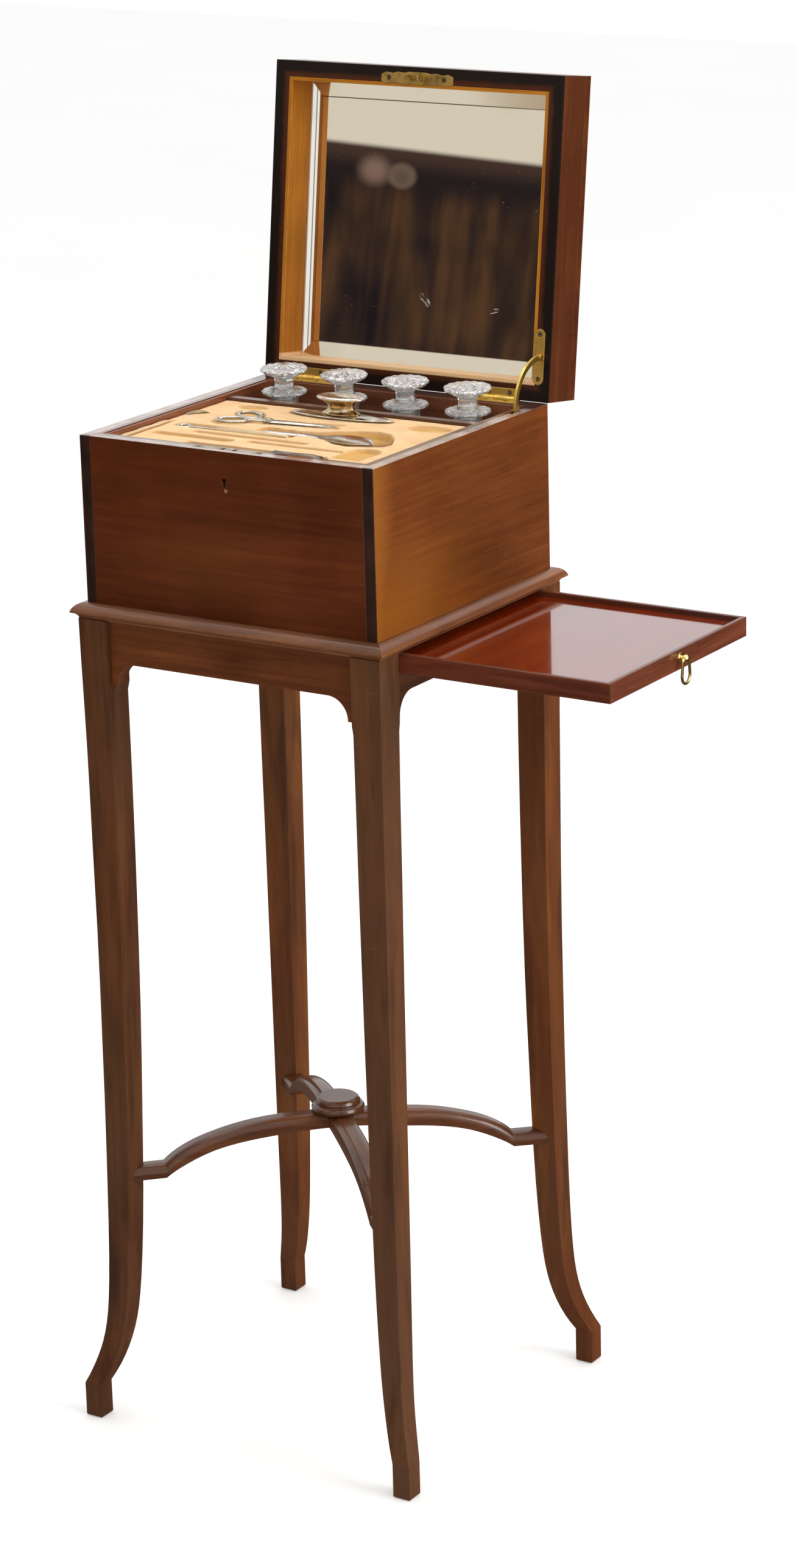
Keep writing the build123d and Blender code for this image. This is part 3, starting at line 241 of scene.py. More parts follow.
def wood(name, axis="X", dark=(0.05, 0.012, 0.004), mid=(0.12, 0.033, 0.010), light=(0.22, 0.072, 0.022), rough=0.30, coat=0.35,
         coat_rough=0.12, coords="obj", wear=(0.30, 0.15, 0.07), wear_amt=0.35, seed=0.0, band=1.0, mitre=None, hook=None, bump=0.14, spec=0.32,
         scratches=0.25, patina=0.20, contrast=1.0, rim=False, crevice_shade_and_grime=0.0, figured=0.55):
    m = Mat(name)
    p = m.obj() if coords == "obj" else m.lid()
    if mitre is not None:                                   # bars that meet at 45 degrees: two run along x and two along y
        x, y, z = m.sep(p)
        ax = m.math("SUBTRACT", m.math("ABSOLUTE", x), mitre[0])
        ay = m.math("SUBTRACT", m.math("ABSOLUTE", y), mitre[1])
        g = m.vmix(m.math("GREATER_THAN", ax, ay), grain_vec(m, p, "X"), grain_vec(m, p, "Y"))
    else:
        g = grain_vec(m, p, axis)
    g = m.mapped(g, loc=(seed * 3.71, seed * 1.37, seed * 2.11))
    figure = m.noise(m.mapped(g, scale=(3.2, 26 * band, 26 * band)), 1.0, 4.0, 0.55, 0.8)
    streak = m.noise(m.mapped(g, scale=(7, 190, 190)), 1.0, 5.0, 0.62, 0.25)
    fine = m.noise(m.mapped(g, scale=(45, 900, 900)), 1.0, 3.0, 0.6)
    blotch = m.noise(m.mapped(p, scale=(9, 9, 9)), 1.0, 3.0, 0.5, 0.4)
    f = m.math("ADD", m.math("MULTIPLY", figure, figured), m.math("MULTIPLY", streak, 1.0 - figured))
    f = m.rng(f, 0.5 - 0.17 / contrast, 0.5 + 0.17 / contrast)
    col = m.ramp(f, [(0.0, dark), (0.5, mid), (1.0, light)])
    pores = m.rng(fine, 0.60, 0.72)
    col = m.mix(m.math("MULTIPLY", pores, 0.45), col, tuple(0.35 * c for c in dark))
    bl = m.rng(blotch, 0.3, 0.7, 1.0 - patina, 1.0 + patina)
    n = m.new("ShaderNodeMix", data_type="RGBA", blend_type="MULTIPLY")
    n.inputs[0].default_value = 1.0
    m.put(n.inputs[6], col)
    comb = m.new("ShaderNodeCombineXYZ")
    for i in range(3):
        m.put(comb.inputs[i], bl)
    m.put(n.inputs[7], comb.outputs[0])
    col = n.outputs[2]
    # fine scratches in a few directions
    sc1 = m.noise(m.mapped(p, rot=(0.3, 0.4, 0.7), scale=(14, 420, 420)), 1.0, 2.0, 0.5)
    sc2 = m.noise(m.mapped(p, rot=(1.1, -0.5, 2.2), scale=(20, 520, 520)), 1.0, 2.0, 0.5)
    where = m.rng(m.noise(m.mapped(p, scale=(16, 16, 16)), 1.0, 2.0, 0.5), 0.52, 0.66)
    sc = m.math("MULTIPLY", m.math("MAXIMUM", m.rng(sc1, 0.715, 0.75), m.rng(sc2, 0.72, 0.76)), where, clamp=True)
    col = m.mix(m.math("MULTIPLY", sc, scratches), col, (0.42, 0.25, 0.15))
    # a lighter colour along the edges: wear, and on the lid lining also a painted highlight
    em, en = m.edge()
    worn = m.math("MULTIPLY", em, m.rng(m.noise(m.mapped(p, scale=(70, 70, 70)), 1.0, 3.0, 0.6), 0.38, 0.62, 0.25, 1.0))
    col = m.mix(m.math("MULTIPLY", worn, wear_amt), col, wear)
    if hook is not None:
        col = hook(m, p, col)
    if crevice_shade_and_grime:                                             # painted crevice shade where ambient occlusion is high, also standing for old polish and dirt left in the quirks of a moulding
        ao = m.new("ShaderNodeAmbientOcclusion", samples=4, only_local=True)
        ao.inputs["Distance"].default_value = 0.0045
        col = m.mix(m.math("MULTIPLY", m.rng(ao.outputs["AO"], 0.35, 0.85, 1.0, 0.0), crevice_shade_and_grime), col, tuple(0.16 * c for c in dark))
    r = m.math("ADD", rough, m.math("MULTIPLY", m.rng(blotch, 0.3, 0.7, -1.0, 1.0), 0.05))
    r = m.math("ADD", r, m.math("MULTIPLY", m.math("ADD", sc, pores), 0.12), clamp=True)
    h = m.math("SUBTRACT", m.math("MULTIPLY", streak, 0.6), m.math("MULTIPLY", m.math("ADD", pores, sc), 0.5))
    if rim:                                               # the rim has been rubbed to a higher gloss than the faces; its top colour is also painted: a pale grey reflection of the sky on the outer part, browner towards the inside, darker on the back rim
        x, y, z = m.sep(p)
        k = m.math("GREATER_THAN", z, 0.93785)
        r = m.math("SUBTRACT", r, m.math("MULTIPLY", k, 0.16), clamp=True)
        d = m.math("MINIMUM", m.math("SUBTRACT", 0.1525, m.math("ABSOLUTE", x)), m.math("SUBTRACT", 0.14435, m.math("ABSOLUTE", y)))
        d = m.math("ADD", d, m.math("MULTIPLY", m.math("SUBTRACT", m.noise(m.mapped(p, scale=(55, 55, 55)), 1.0, 3.0, 0.6), 0.5), 0.003))
        # painted reflection of the bright sky on the rim top
        pale = m.mix(m.rng(m.noise(m.mapped(p, scale=(38, 38, 38)), 1.0, 4.0, 0.6), 0.40, 0.62), (0.46, 0.35, 0.315), (0.27, 0.175, 0.145))
        top = m.mix(m.rng(d, 0.0088, 0.0104, 0.0, 1.0, smooth=True), pale, (0.105, 0.045, 0.026))
        top = m.mix(m.rng(y, 0.110, 0.122, 0.0, 1.0, smooth=True), top, (0.070, 0.030, 0.022))
        col = m.mix(k, col, top)
    m.set(color=col, rough=r, coat=coat, coat_rough=coat_rough, spec=spec, normal=m.bump(h, bump, 0.0004, en))
    return m.m


def plain_coated(name, a, b, rough=0.3, coat=0.3, coords="obj", scale=30, wear=(0.2, 0.1, 0.05), wear_amt=0.4, hook=None, grain="X"):
    """Ebonised or stained wood: grain barely shows."""
    m = Mat(name)
    p = m.obj() if coords == "obj" else m.lid()
    g = grain_vec(m, p, grain)
    f = m.noise(m.mapped(g, scale=(6, 170, 170)), 1.0, 4.0, 0.6, 0.2)
    bl = m.noise(m.mapped(p, scale=(scale,) * 3), 1.0, 3.0, 0.55)
    col = m.ramp(m.rng(m.math("ADD", m.math("MULTIPLY", f, 0.6), m.math("MULTIPLY", bl, 0.4)), 0.36, 0.64), [(0.0, a), (1.0, b)])
    em, en = m.edge()
    col = m.mix(m.math("MULTIPLY", m.math("MULTIPLY", em, m.rng(bl, 0.4, 0.6)), wear_amt), col, wear)
    if hook is not None:
        col = hook(m, p, col)
    r = m.math("ADD", rough, m.math("MULTIPLY", m.rng(bl, 0.3, 0.7, -1, 1), 0.07))
    m.set(color=col, rough=r, coat=coat, coat_rough=0.15, normal=m.bump(f, 0.12, 0.0003, en))
    return m.m


MAH = dict(dark=(0.046, 0.0125, 0.0040), mid=(0.086, 0.0255, 0.0075), light=(0.140, 0.0460, 0.0140))
APRON = dict(dark=(0.056, 0.0130, 0.0036), mid=(0.112, 0.0290, 0.0062), light=(0.175, 0.0520, 0.0120))
BOXV = dict(dark=(0.052, 0.0095, 0.0022), mid=(0.088, 0.0175, 0.0034), light=(0.128, 0.0300, 0.0055), contrast=0.8)
SIDE = dict(dark=(0.084, 0.0170, 0.0022), mid=(0.130, 0.0310, 0.0040), light=(0.190, 0.0530, 0.0065))


def leg_hook(m, p, col):
    """The four legs differ in tone: the front right one is the dullest, the back ones the reddest, the front left one
    darker.
    """
    x, y, z = m.sep(p)
    fr = m.math("MULTIPLY", m.math("GREATER_THAN", x, 0.05), m.math("LESS_THAN", y, -0.05))
    bk = m.math("GREATER_THAN", y, 0.05)
    fl = m.math("MULTIPLY", m.math("LESS_THAN", x, -0.05), m.math("LESS_THAN", y, -0.05))
    col = m.mix(m.math("MULTIPLY", fr, 0.60), col, (0.102, 0.043, 0.020))
    col = m.mix(m.math("MULTIPLY", bk, 0.55), col, (0.140, 0.036, 0.0065))
    col = m.mix(m.math("MULTIPLY", fl, 0.35), col, (0.055, 0.020, 0.009))
    n = m.rng(m.noise(m.mapped(p, scale=(14, 14, 5)), 1.0, 3.0, 0.55), 0.42, 0.62)
    col = m.mix(m.math("MULTIPLY", n, 0.35), col, (0.115, 0.050, 0.018))
    n2 = m.rng(m.noise(m.mapped(p, scale=(24, 24, 4), loc=(3.0, 1.0, 2.0)), 1.0, 4.0, 0.6), 0.52, 0.66)
    col = m.mix(m.math("MULTIPLY", n2, m.math("ADD", m.math("MULTIPLY", bk, 0.35), 0.25)), col, (0.200, 0.066, 0.012))
    n3 = m.rng(m.noise(m.mapped(p, scale=(60, 60, 7), loc=(1.0, 4.0, 0.5)), 1.0, 4.0, 0.6), 0.52, 0.68)
    return m.mix(m.math("MULTIPLY", n3, 0.50), col, (0.034, 0.013, 0.006))


def side_hook(m, p, col):
    """The side veneer is more orange near its front edge and low down."""
    x, y, z = m.sep(p)
    k = m.rng(y, -0.146, -0.105, 1.0, 0.0, smooth=True)
    k2 = m.math("MULTIPLY", m.rng(z, 0.80, 0.90, 1.0, 0.0, smooth=True), m.rng(y, 0.06, -0.10, 0.0, 1.0, smooth=True))
    k = m.math("MAXIMUM", k, m.math("MULTIPLY", k2, 0.8))
    return m.mix(m.math("MULTIPLY", k, 0.60), col, (0.31, 0.105, 0.010))


def front_hook(m, p, col):
    """A paler cloud low in the middle of the front and the rubbed spot below the keyhole."""
    x, y, z = m.sep(p)
    q = m.new("ShaderNodeVectorMath", operation="DISTANCE")
    m.put(q.inputs[0], m.mapped(p, scale=(0.75, 0, 1.6)))
    q.inputs[1].default_value = (-0.022 * 0.75, 0, 0.836 * 1.6)
    k = m.rng(q.outputs["Value"], 0.0, 0.085, 1.0, 0.0, smooth=True)
    col = m.mix(m.math("MULTIPLY", k, 0.20), col, (0.20, 0.070, 0.015))
    q2 = m.new("ShaderNodeVectorMath", operation="DISTANCE")
    m.put(q2.inputs[0], m.mapped(p, scale=(1, 0, 1)))
    q2.inputs[1].default_value = (0.0015, 0, 0.9035)
    col = m.mix(m.math("MULTIPLY", m.rng(q2.outputs["Value"], 0.0010, 0.0022, 1.0, 0.0), 0.85), col, (0.34, 0.175, 0.105))
    return col


def lid_rim_hook(m, p, col):
    """The lid's rim is blackened at the outside and fades to red-brown towards the lining."""
    x, y, z = m.sep(p)
    ox = m.math("SUBTRACT", 0.1525, m.math("ABSOLUTE", x))
    oy = m.math("SUBTRACT", 0.14435, m.math("ABSOLUTE", y))
    d = m.math("MINIMUM", ox, oy)
    d = m.math("ADD", d, m.math("MULTIPLY", m.math("SUBTRACT", m.noise(m.mapped(p, scale=(60, 60, 60)), 1.0, 3.0, 0.5), 0.5), 0.004))
    rim = m.math("LESS_THAN", z, 0.93990)
    dark = m.mix(m.rng(d, 0.0075, 0.0130, 0.0, 1.0, smooth=True), (0.0080, 0.0034, 0.0026), (0.060, 0.0140, 0.0040))
    return m.mix(rim, col, dark)


def lining_hook(m, p, col):
    """The lining's lower bar has faded to a peach colour."""
    x, y, z = m.sep(p)
    k = m.rng(y, 0.1225, 0.1250, 0.0, 1.0, smooth=True)
    return m.mix(m.math("MULTIPLY", k, 0.85), col, (0.86, 0.56, 0.30))


M = {}
M["leg"] = wood("mahogany_upright", "Z", seed=1, rough=0.38, coat=0.08, spec=0.24, contrast=1.25, hook=leg_hook, **MAH)
M["mah_x"] = wood("mahogany_along_x", "X", seed=2, rough=0.34, coat=0.2, **APRON)
M["mah_y"] = wood("mahogany_along_y", "Y", seed=3, rough=0.34, coat=0.2, **MAH)
M["moulding"] = wood("mahogany_moulding", mitre=(0.1644, 0.15625), seed=4, rough=0.27, coat=0.45, dark=(0.060, 0.017, 0.006), mid=(0.150, 0.050, 0.018),
                     light=(0.240, 0.090, 0.034), wear=(0.42, 0.24, 0.13), wear_amt=0.55, crevice_shade_and_grime=0.9)
ARM = math.degrees(math.atan2(142.0, 149.0))
M["arm_a"] = wood("mahogany_arm_a", 43.6, seed=5, rough=0.30, coat=0.4, crevice_shade_and_grime=0.7, **MAH)
M["arm_b"] = wood("mahogany_arm_b", -43.6, seed=6, rough=0.30, coat=0.4, crevice_shade_and_grime=0.7, **MAH)
M["boss"] = wood("mahogany_turned", "X", seed=7, rough=0.28, coat=0.5, crevice_shade_and_grime=0.7, **MAH)
M["front"] = wood("veneer_front", "X", seed=8, rough=0.30, coat=0.45, coat_rough=0.06, hook=front_hook, band=0.8, rim=True, **BOXV)
M["back"] = wood("veneer_back", "X", seed=9, rough=0.30, coat=0.45, coat_rough=0.06, rim=True, **BOXV)
M["side"] = wood("veneer_side", "Y", seed=10, rough=0.28, coat=0.6, coat_rough=0.05, hook=side_hook, band=0.7, rim=True, contrast=0.75, figured=0.28, **SIDE)
M["lid_top"] = wood("veneer_lid_top", "X", seed=11, coords="lid", rough=0.28, coat=0.5, coat_rough=0.06, **BOXV)
M["lid_x"] = wood("veneer_lid_front", "X", seed=12, coords="lid", rough=0.34, coat=0.08, spec=0.16, hook=lid_rim_hook, wear_amt=0.2, **BOXV)
M["lid_y"] = wood("veneer_lid_side", "Y", seed=13, coords="lid", rough=0.36, coat=0.06, spec=0.18, hook=lid_rim_hook, wear_amt=0.2, contrast=0.8,
                  dark=(0.052, 0.0115, 0.0026), mid=(0.080, 0.0190, 0.0045), light=(0.120, 0.0320, 0.0080))
# on the lid lining, the pale gold laid along the edges through the wear mask is partly wear and partly a painted
# highlight on the lining's rounded edges
M["lining_lid"] = wood("lid_lining_wood", mitre=(0.1345, 0.12635), seed=14, coords="lid", rough=0.45, coat=0.0, spec=0.10, contrast=0.7, dark=(0.27, 0.085, 0.006),
                       mid=(0.44, 0.155, 0.012), light=(0.60, 0.24, 0.020), wear=(0.80, 0.48, 0.17), wear_amt=0.8, hook=lining_hook)
M["lining_box"] = wood("box_lining_wood", mitre=(0.1345, 0.12635), seed=15, rough=0.34, coat=0.3, dark=(0.085, 0.020, 0.008),
                       mid=(0.19, 0.055, 0.022), light=(0.30, 0.105, 0.045), wear=(0.45, 0.25, 0.15), wear_amt=0.5)
M["divider"] = wood("divider_wood", "X", seed=16, rough=0.30, coat=0.35, dark=(0.030, 0.009, 0.005), mid=(0.075, 0.024, 0.012), light=(0.13, 0.045, 0.022))
M["ebony"] = plain_coated("ebonised_strip", (0.0085, 0.0040, 0.0030), (0.040, 0.0140, 0.0080), rough=0.34, coat=0.2, grain="Z", wear=(0.12, 0.035, 0.012), wear_amt=0.7)
M["second_x"] = wood("secondary_wood_x", "X", seed=17, rough=0.55, coat=0.0, dark=(0.20, 0.10, 0.045), mid=(0.34, 0.19, 0.09), light=(0.46, 0.28, 0.14),
                     wear=(0.55, 0.36, 0.20), scratches=0.1)
M["second_y"] = wood("secondary_wood_y", "Y", seed=18, rough=0.55, coat=0.0, dark=(0.20, 0.10, 0.045), mid=(0.34, 0.19, 0.09), light=(0.46, 0.28, 0.14),
                     wear=(0.55, 0.36, 0.20), scratches=0.1)
M["slide_top"] = wood("slide_surface", "Y", seed=19, rough=0.10, coat=1.0, coat_rough=0.02, dark=(0.125, 0.0095, 0.0008), mid=(0.165, 0.0145, 0.0010),
                      light=(0.205, 0.0210, 0.0014), bump=0.015, patina=0.10, scratches=0.06, spec=0.6, wear_amt=0.1)
M["slide_edge"] = wood("slide_edging", mitre=(0.365, 0.1203), seed=20, rough=0.30, coat=0.35, dark=(0.050, 0.010, 0.0045), mid=(0.120, 0.027, 0.011),
                       light=(0.19, 0.052, 0.022), wear=(0.30, 0.12, 0.06), wear_amt=0.4)


# ------------------------------------------------------------------ metals, glass, bone, leather
def metal(name, base, tarnish, rough=0.28, amount=0.5, scale=55, bump=0.08, brushed=None, coords="obj", dark_edge=0.0):
    m = Mat(name)
    p = m.obj() if coords == "obj" else m.lid()
    n1 = m.noise(m.mapped(p, scale=(scale,) * 3), 1.0, 5.0, 0.62, 0.3)
    n2 = m.noise(m.mapped(p, scale=(scale * 9,) * 3), 1.0, 3.0, 0.6)
    f = m.rng(m.math("ADD", m.math("MULTIPLY", n1, 0.7), m.math("MULTIPLY", n2, 0.3)), 0.42, 0.66)
    col = m.mix(m.math("MULTIPLY", f, amount), base, tarnish)
    em, en = m.edge(0.0006, 5.0)
    if dark_edge:
        col = m.mix(m.math("MULTIPLY", em, dark_edge), col, tarnish)
    sc = m.noise(m.mapped(p, rot=(0.2, 0.5, 0.9), scale=(30, 900, 900)), 1.0, 2.0, 0.5)
    h = m.math("ADD", m.math("MULTIPLY", n2, 0.5), m.math("MULTIPLY", m.rng(sc, 0.6, 0.75), 0.5))
    r = m.math("ADD", rough, m.math("MULTIPLY", f, 0.22), clamp=True)
    m.set(color=col, metal=1.0, rough=r, normal=m.bump(h, bump, 0.0002, en))
    return m.m


M["brass"] = metal("aged_brass", (0.80, 0.56, 0.125), (0.30, 0.17, 0.040), rough=0.30, amount=0.65)
M["brass_lock"] = metal("tarnished_lock_plate", (0.50, 0.42, 0.33), (0.16, 0.11, 0.07), rough=0.34, amount=0.75, scale=80)
M["brass_lid"] = metal("aged_brass_on_lid", (0.80, 0.53, 0.13), (0.30, 0.15, 0.035), rough=0.30, amount=0.6, coords="lid")
M["brass_link"] = metal("dull_brass_link_plate", (0.60, 0.40, 0.12), (0.12, 0.065, 0.025), rough=0.36, amount=0.8, scale=90, coords="lid")
M["brass_pull"] = metal("polished_brass", (0.87, 0.66, 0.26), (0.45, 0.28, 0.08), rough=0.16, amount=0.35)
M["screw"] = metal("dark_screws", (0.17, 0.12, 0.075), (0.045, 0.032, 0.022), rough=0.40, amount=0.7, scale=300)
M["steel"] = metal("polished_steel", (0.58, 0.55, 0.48), (0.20, 0.155, 0.085), rough=0.17, amount=0.6, scale=120, dark_edge=0.3)
M["silver"] = metal("silver_plate", (0.74, 0.71, 0.67), (0.24, 0.17, 0.095), rough=0.10, amount=0.55, scale=70, dark_edge=0.45)


def buffer_mat():
    """Tarnished silver with painted reflections: the waist is painted brown for tarnish and the dark room it reflects,
    the cap and the foot are painted bright for the sky they face, with gold-toned tarnish between.
    """
    m = Mat("tarnished_silver_painted_reflections")
    p = m.obj()
    x, y, z = m.sep(p)
    n1 = m.noise(m.mapped(p, scale=(95, 95, 60)), 1.0, 5.0, 0.62, 0.6)
    n2 = m.noise(m.mapped(p, scale=(700,) * 3), 1.0, 3.0, 0.6)
    col = m.ramp(m.rng(n1, 0.34, 0.66), [(0.0, (0.10, 0.055, 0.030)), (0.40, (0.30, 0.20, 0.09)), (0.70, (0.52, 0.40, 0.20)), (1.0, (0.62, 0.56, 0.45))])
    # painted reflection: the cap and the foot, which face the sky, are painted brighter
    cap = m.math("MAXIMUM", m.rng(z, 0.9492, 0.9508, 0.0, 1.0, smooth=True), m.rng(z, 0.9366, 0.9356, 0.0, 1.0, smooth=True))
    painted_sky_reflection = m.mix(m.rng(n1, 0.40, 0.62), (0.80, 0.77, 0.73), (0.46, 0.38, 0.28))
    col = m.mix(m.math("MULTIPLY", cap, 0.85), col, painted_sky_reflection)
    em, en = m.edge(0.0006, 5.0)
    m.set(color=col, metal=1.0, rough=m.rng(n2, 0.3, 0.7, 0.10, 0.22), normal=m.bump(n2, 0.06, 0.0002, en))
    return m.m


M["buffer"] = buffer_mat()


def mirror_mat():
    m = Mat("silvered_plate_glass")
    p = m.lid()
    speck = m.noise(m.mapped(p, scale=(520, 520, 520)), 1.0, 2.0, 0.5)
    zone = m.noise(m.mapped(p, scale=(17, 17, 17)), 1.0, 3.0, 0.55)
    spots = m.math("MULTIPLY", m.rng(speck, 0.73, 0.78), m.rng(zone, 0.54, 0.62))
    # silvering failing in two small patches
    x, y, z = m.sep(p)
    out = spots
    for cx, cy, ang, ln, wd in ((0.000, 0.066, -0.80, 0.0085, 0.0034), (0.073, 0.070, 0.25, 0.006, 0.0022)):
        q = m.mapped(p, loc=(-cx, -cy, 0))
        q = m.mapped(q, rot=(0, 0, ang))
        qx, qy, _ = m.sep(q)
        e = m.math("ADD", m.math("POWER", m.math("DIVIDE", qx, ln), 2.0), m.math("POWER", m.math("DIVIDE", qy, wd), 2.0))
        hatch = m.rng(m.noise(m.mapped(q, scale=(170, 900, 1)), 1.0, 2.0, 0.5), 0.56, 0.60)
        out = m.math("MAXIMUM", out, m.math("MULTIPLY", m.math("LESS_THAN", e, 1.0), hatch))
    edge = m.math("MINIMUM", m.math("SUBTRACT", 0.1378, m.math("ABSOLUTE", x)), m.math("SUBTRACT", 0.12965, m.math("ABSOLUTE", y)))
    fox = m.math("MULTIPLY", m.rng(edge, 0.0, 0.030, 1.0, 0.0), m.rng(zone, 0.50, 0.66))
    col = m.mix(m.math("MULTIPLY", fox, 0.25), (0.93, 0.92, 0.90), (0.55, 0.47, 0.36))
    col = m.mix(m.math("MULTIPLY", out, 0.85), col, (0.62, 0.60, 0.56))
    # Light bends in the glass of the ground border, so each border mirrors the room as if it were tilted.
    # a is the tilt across the plate (towards +x), b the tilt upwards.
    def band(v, lo, hi):
        return m.math("MULTIPLY", m.math("GREATER_THAN", v, lo), m.math("LESS_THAN", v, hi))
    dl = m.math("ADD", x, 0.1378)                        # from the left wall
    dr = m.math("SUBTRACT", 0.1378, x)
    db = m.math("SUBTRACT", 0.12965, y)                  # from the bottom wall
    dt = m.math("ADD", y, 0.12965)
    F = 0.0173
    side_l = m.math("MULTIPLY", m.math("LESS_THAN", dl, F), m.math("LESS_THAN", dl, m.math("MINIMUM", db, dt)))
    side_r = m.math("MULTIPLY", m.math("LESS_THAN", dr, F), m.math("LESS_THAN", dr, m.math("MINIMUM", db, dt)))
    low = m.math("MULTIPLY", m.math("LESS_THAN", db, F), m.math("SUBTRACT", 1.0, m.math("MAXIMUM", side_l, side_r)))
    top = m.math("MULTIPLY", m.math("LESS_THAN", dt, F), m.math("SUBTRACT", 1.0, m.math("MAXIMUM", side_l, side_r)))
    a = m.math("SUBTRACT", m.math("MULTIPLY", side_l, 0.050), m.math("MULTIPLY", side_r, 0.050))
    a = m.math("ADD", a, m.math("MULTIPLY", m.math("MULTIPLY", side_l, band(dl, 0.0038, 0.0138)), 0.215))
    b = m.math("ADD", m.math("MULTIPLY", low, 0.125), m.math("MULTIPLY", top, 0.018))
    b = m.math("ADD", b, m.math("MULTIPLY", m.math("MULTIPLY", side_l, band(dl, 0.0040, 0.0140)), 0.060))
    # painted reflection: a dark line painted along the ground arris between the border and the flat
    dmin = m.math("MINIMUM", m.math("MINIMUM", dl, dr), m.math("MINIMUM", db, dt))
    arris = band(dmin, F - 0.0007, F + 0.0003)
    col = m.mix(m.math("MULTIPLY", arris, 0.55), col, (0.20, 0.15, 0.12))
    # painted reflections in the ground border: a dark line and, nearer the flat, a brown band on the left border; a
    # darker line along the top border's arris; brown-beige growing towards the right on the top border
    col = m.mix(m.math("MULTIPLY", m.math("MULTIPLY", side_l, band(dl, 0.0098, 0.0112)), 0.75), col, (0.12, 0.09, 0.08))
    col = m.mix(m.math("MULTIPLY", m.math("MULTIPLY", arris, m.math("MAXIMUM", top, m.math("LESS_THAN", m.math("ABSOLUTE", m.math("SUBTRACT", dt, F)), 0.0009))), 0.8), col, (0.06, 0.045, 0.035))
    col = m.mix(m.math("MULTIPLY", m.math("MULTIPLY", side_l, m.math("GREATER_THAN", dl, 0.0138)), 0.7), col, (0.42, 0.33, 0.26))
    col = m.mix(m.math("MULTIPLY", m.math("MULTIPLY", top, m.rng(x, 0.02, 0.125, 0.0, 1.0, smooth=True)), 0.75), col, (0.50, 0.40, 0.30))
    wob = m.math("MULTIPLY", m.math("SUBTRACT", m.noise(m.mapped(p, scale=(5, 5, 5)), 1.0, 1.0, 0.4), 0.5), 0.006)
    ta = m.math("ADD", a, wob)
    nx = ta
    ny = m.math("ADD", -cos(OPEN - pi / 2), m.math("MULTIPLY", b, sin(OPEN - pi / 2)))
    nz = m.math("ADD", sin(OPEN - pi / 2), m.math("MULTIPLY", b, cos(OPEN - pi / 2)))
    haze = m.rng(m.noise(m.mapped(p, scale=(6, 40, 6)), 1.0, 4.0, 0.6), 0.3, 0.7, 0.004, 0.012)
    r = m.math("ADD", haze, m.math("MULTIPLY", out, 0.55), clamp=True)
    m.set(color=col, metal=m.math("SUBTRACT", 1.0, m.math("MULTIPLY", out, 0.6)), rough=r, normal=m.to_world(m.combine(nx, ny, nz)))
    return m.m


M["mirror"] = mirror_mat()


def glass_mat(name, tint=(0.97, 0.975, 0.97)):
    m = Mat(name)
    p = m.obj()
    n1 = m.noise(m.mapped(p, scale=(150, 150, 150)), 1.0, 3.0, 0.5)
    dust = m.rng(m.noise(m.mapped(p, scale=(800, 800, 800)), 1.0, 2.0, 0.5), 0.66, 0.74)
    col = m.mix(m.math("MULTIPLY", dust, 0.3), tint, (0.80, 0.78, 0.74))
    m.set(color=col, rough=m.rng(n1, 0.3, 0.7, 0.0, 0.02), trans=0.80, ior=1.50, spec=1.0, coat=1.0, coat_rough=0.01, coat_ior=1.8, normal=m.bump(n1, 0.03, 0.0003))
    return m.m


M["crystal"] = glass_mat("cut_crystal")


def bone_mat():
    m = Mat("old_bone")
    p = m.obj()
    g = m.noise(m.mapped(p, scale=(12, 380, 380)), 1.0, 4.0, 0.6)
    b = m.noise(m.mapped(p, scale=(60, 60, 60)), 1.0, 3.0, 0.5)
    col = m.ramp(m.rng(g, 0.35, 0.65), [(0.0, (0.36, 0.23, 0.10)), (0.5, (0.56, 0.40, 0.21)), (1.0, (0.70, 0.54, 0.33))])
    col = m.mix(m.math("MULTIPLY", m.rng(b, 0.5, 0.7), 0.4), col, (0.45, 0.31, 0.16))
    em, en = m.edge(0.0005, 5.0)
    x, y, z = m.sep(p)
    horn = m.ramp(m.rng(m.noise(m.mapped(p, scale=(38, 150, 150)), 1.0, 4.0, 0.6, 0.5), 0.36, 0.62),
                  [(0.0, (0.006, 0.004, 0.003)), (0.6, (0.030, 0.018, 0.008)), (1.0, (0.16, 0.115, 0.055))])
    col = m.mix(m.math("LESS_THAN", y, -0.085), col, horn)
    m.set(color=col, rough=m.rng(b, 0.3, 0.7, 0.20, 0.36), coat=0.3, normal=m.bump(g, 0.1, 0.0002, en))
    return m.m


M["bone"] = bone_mat()


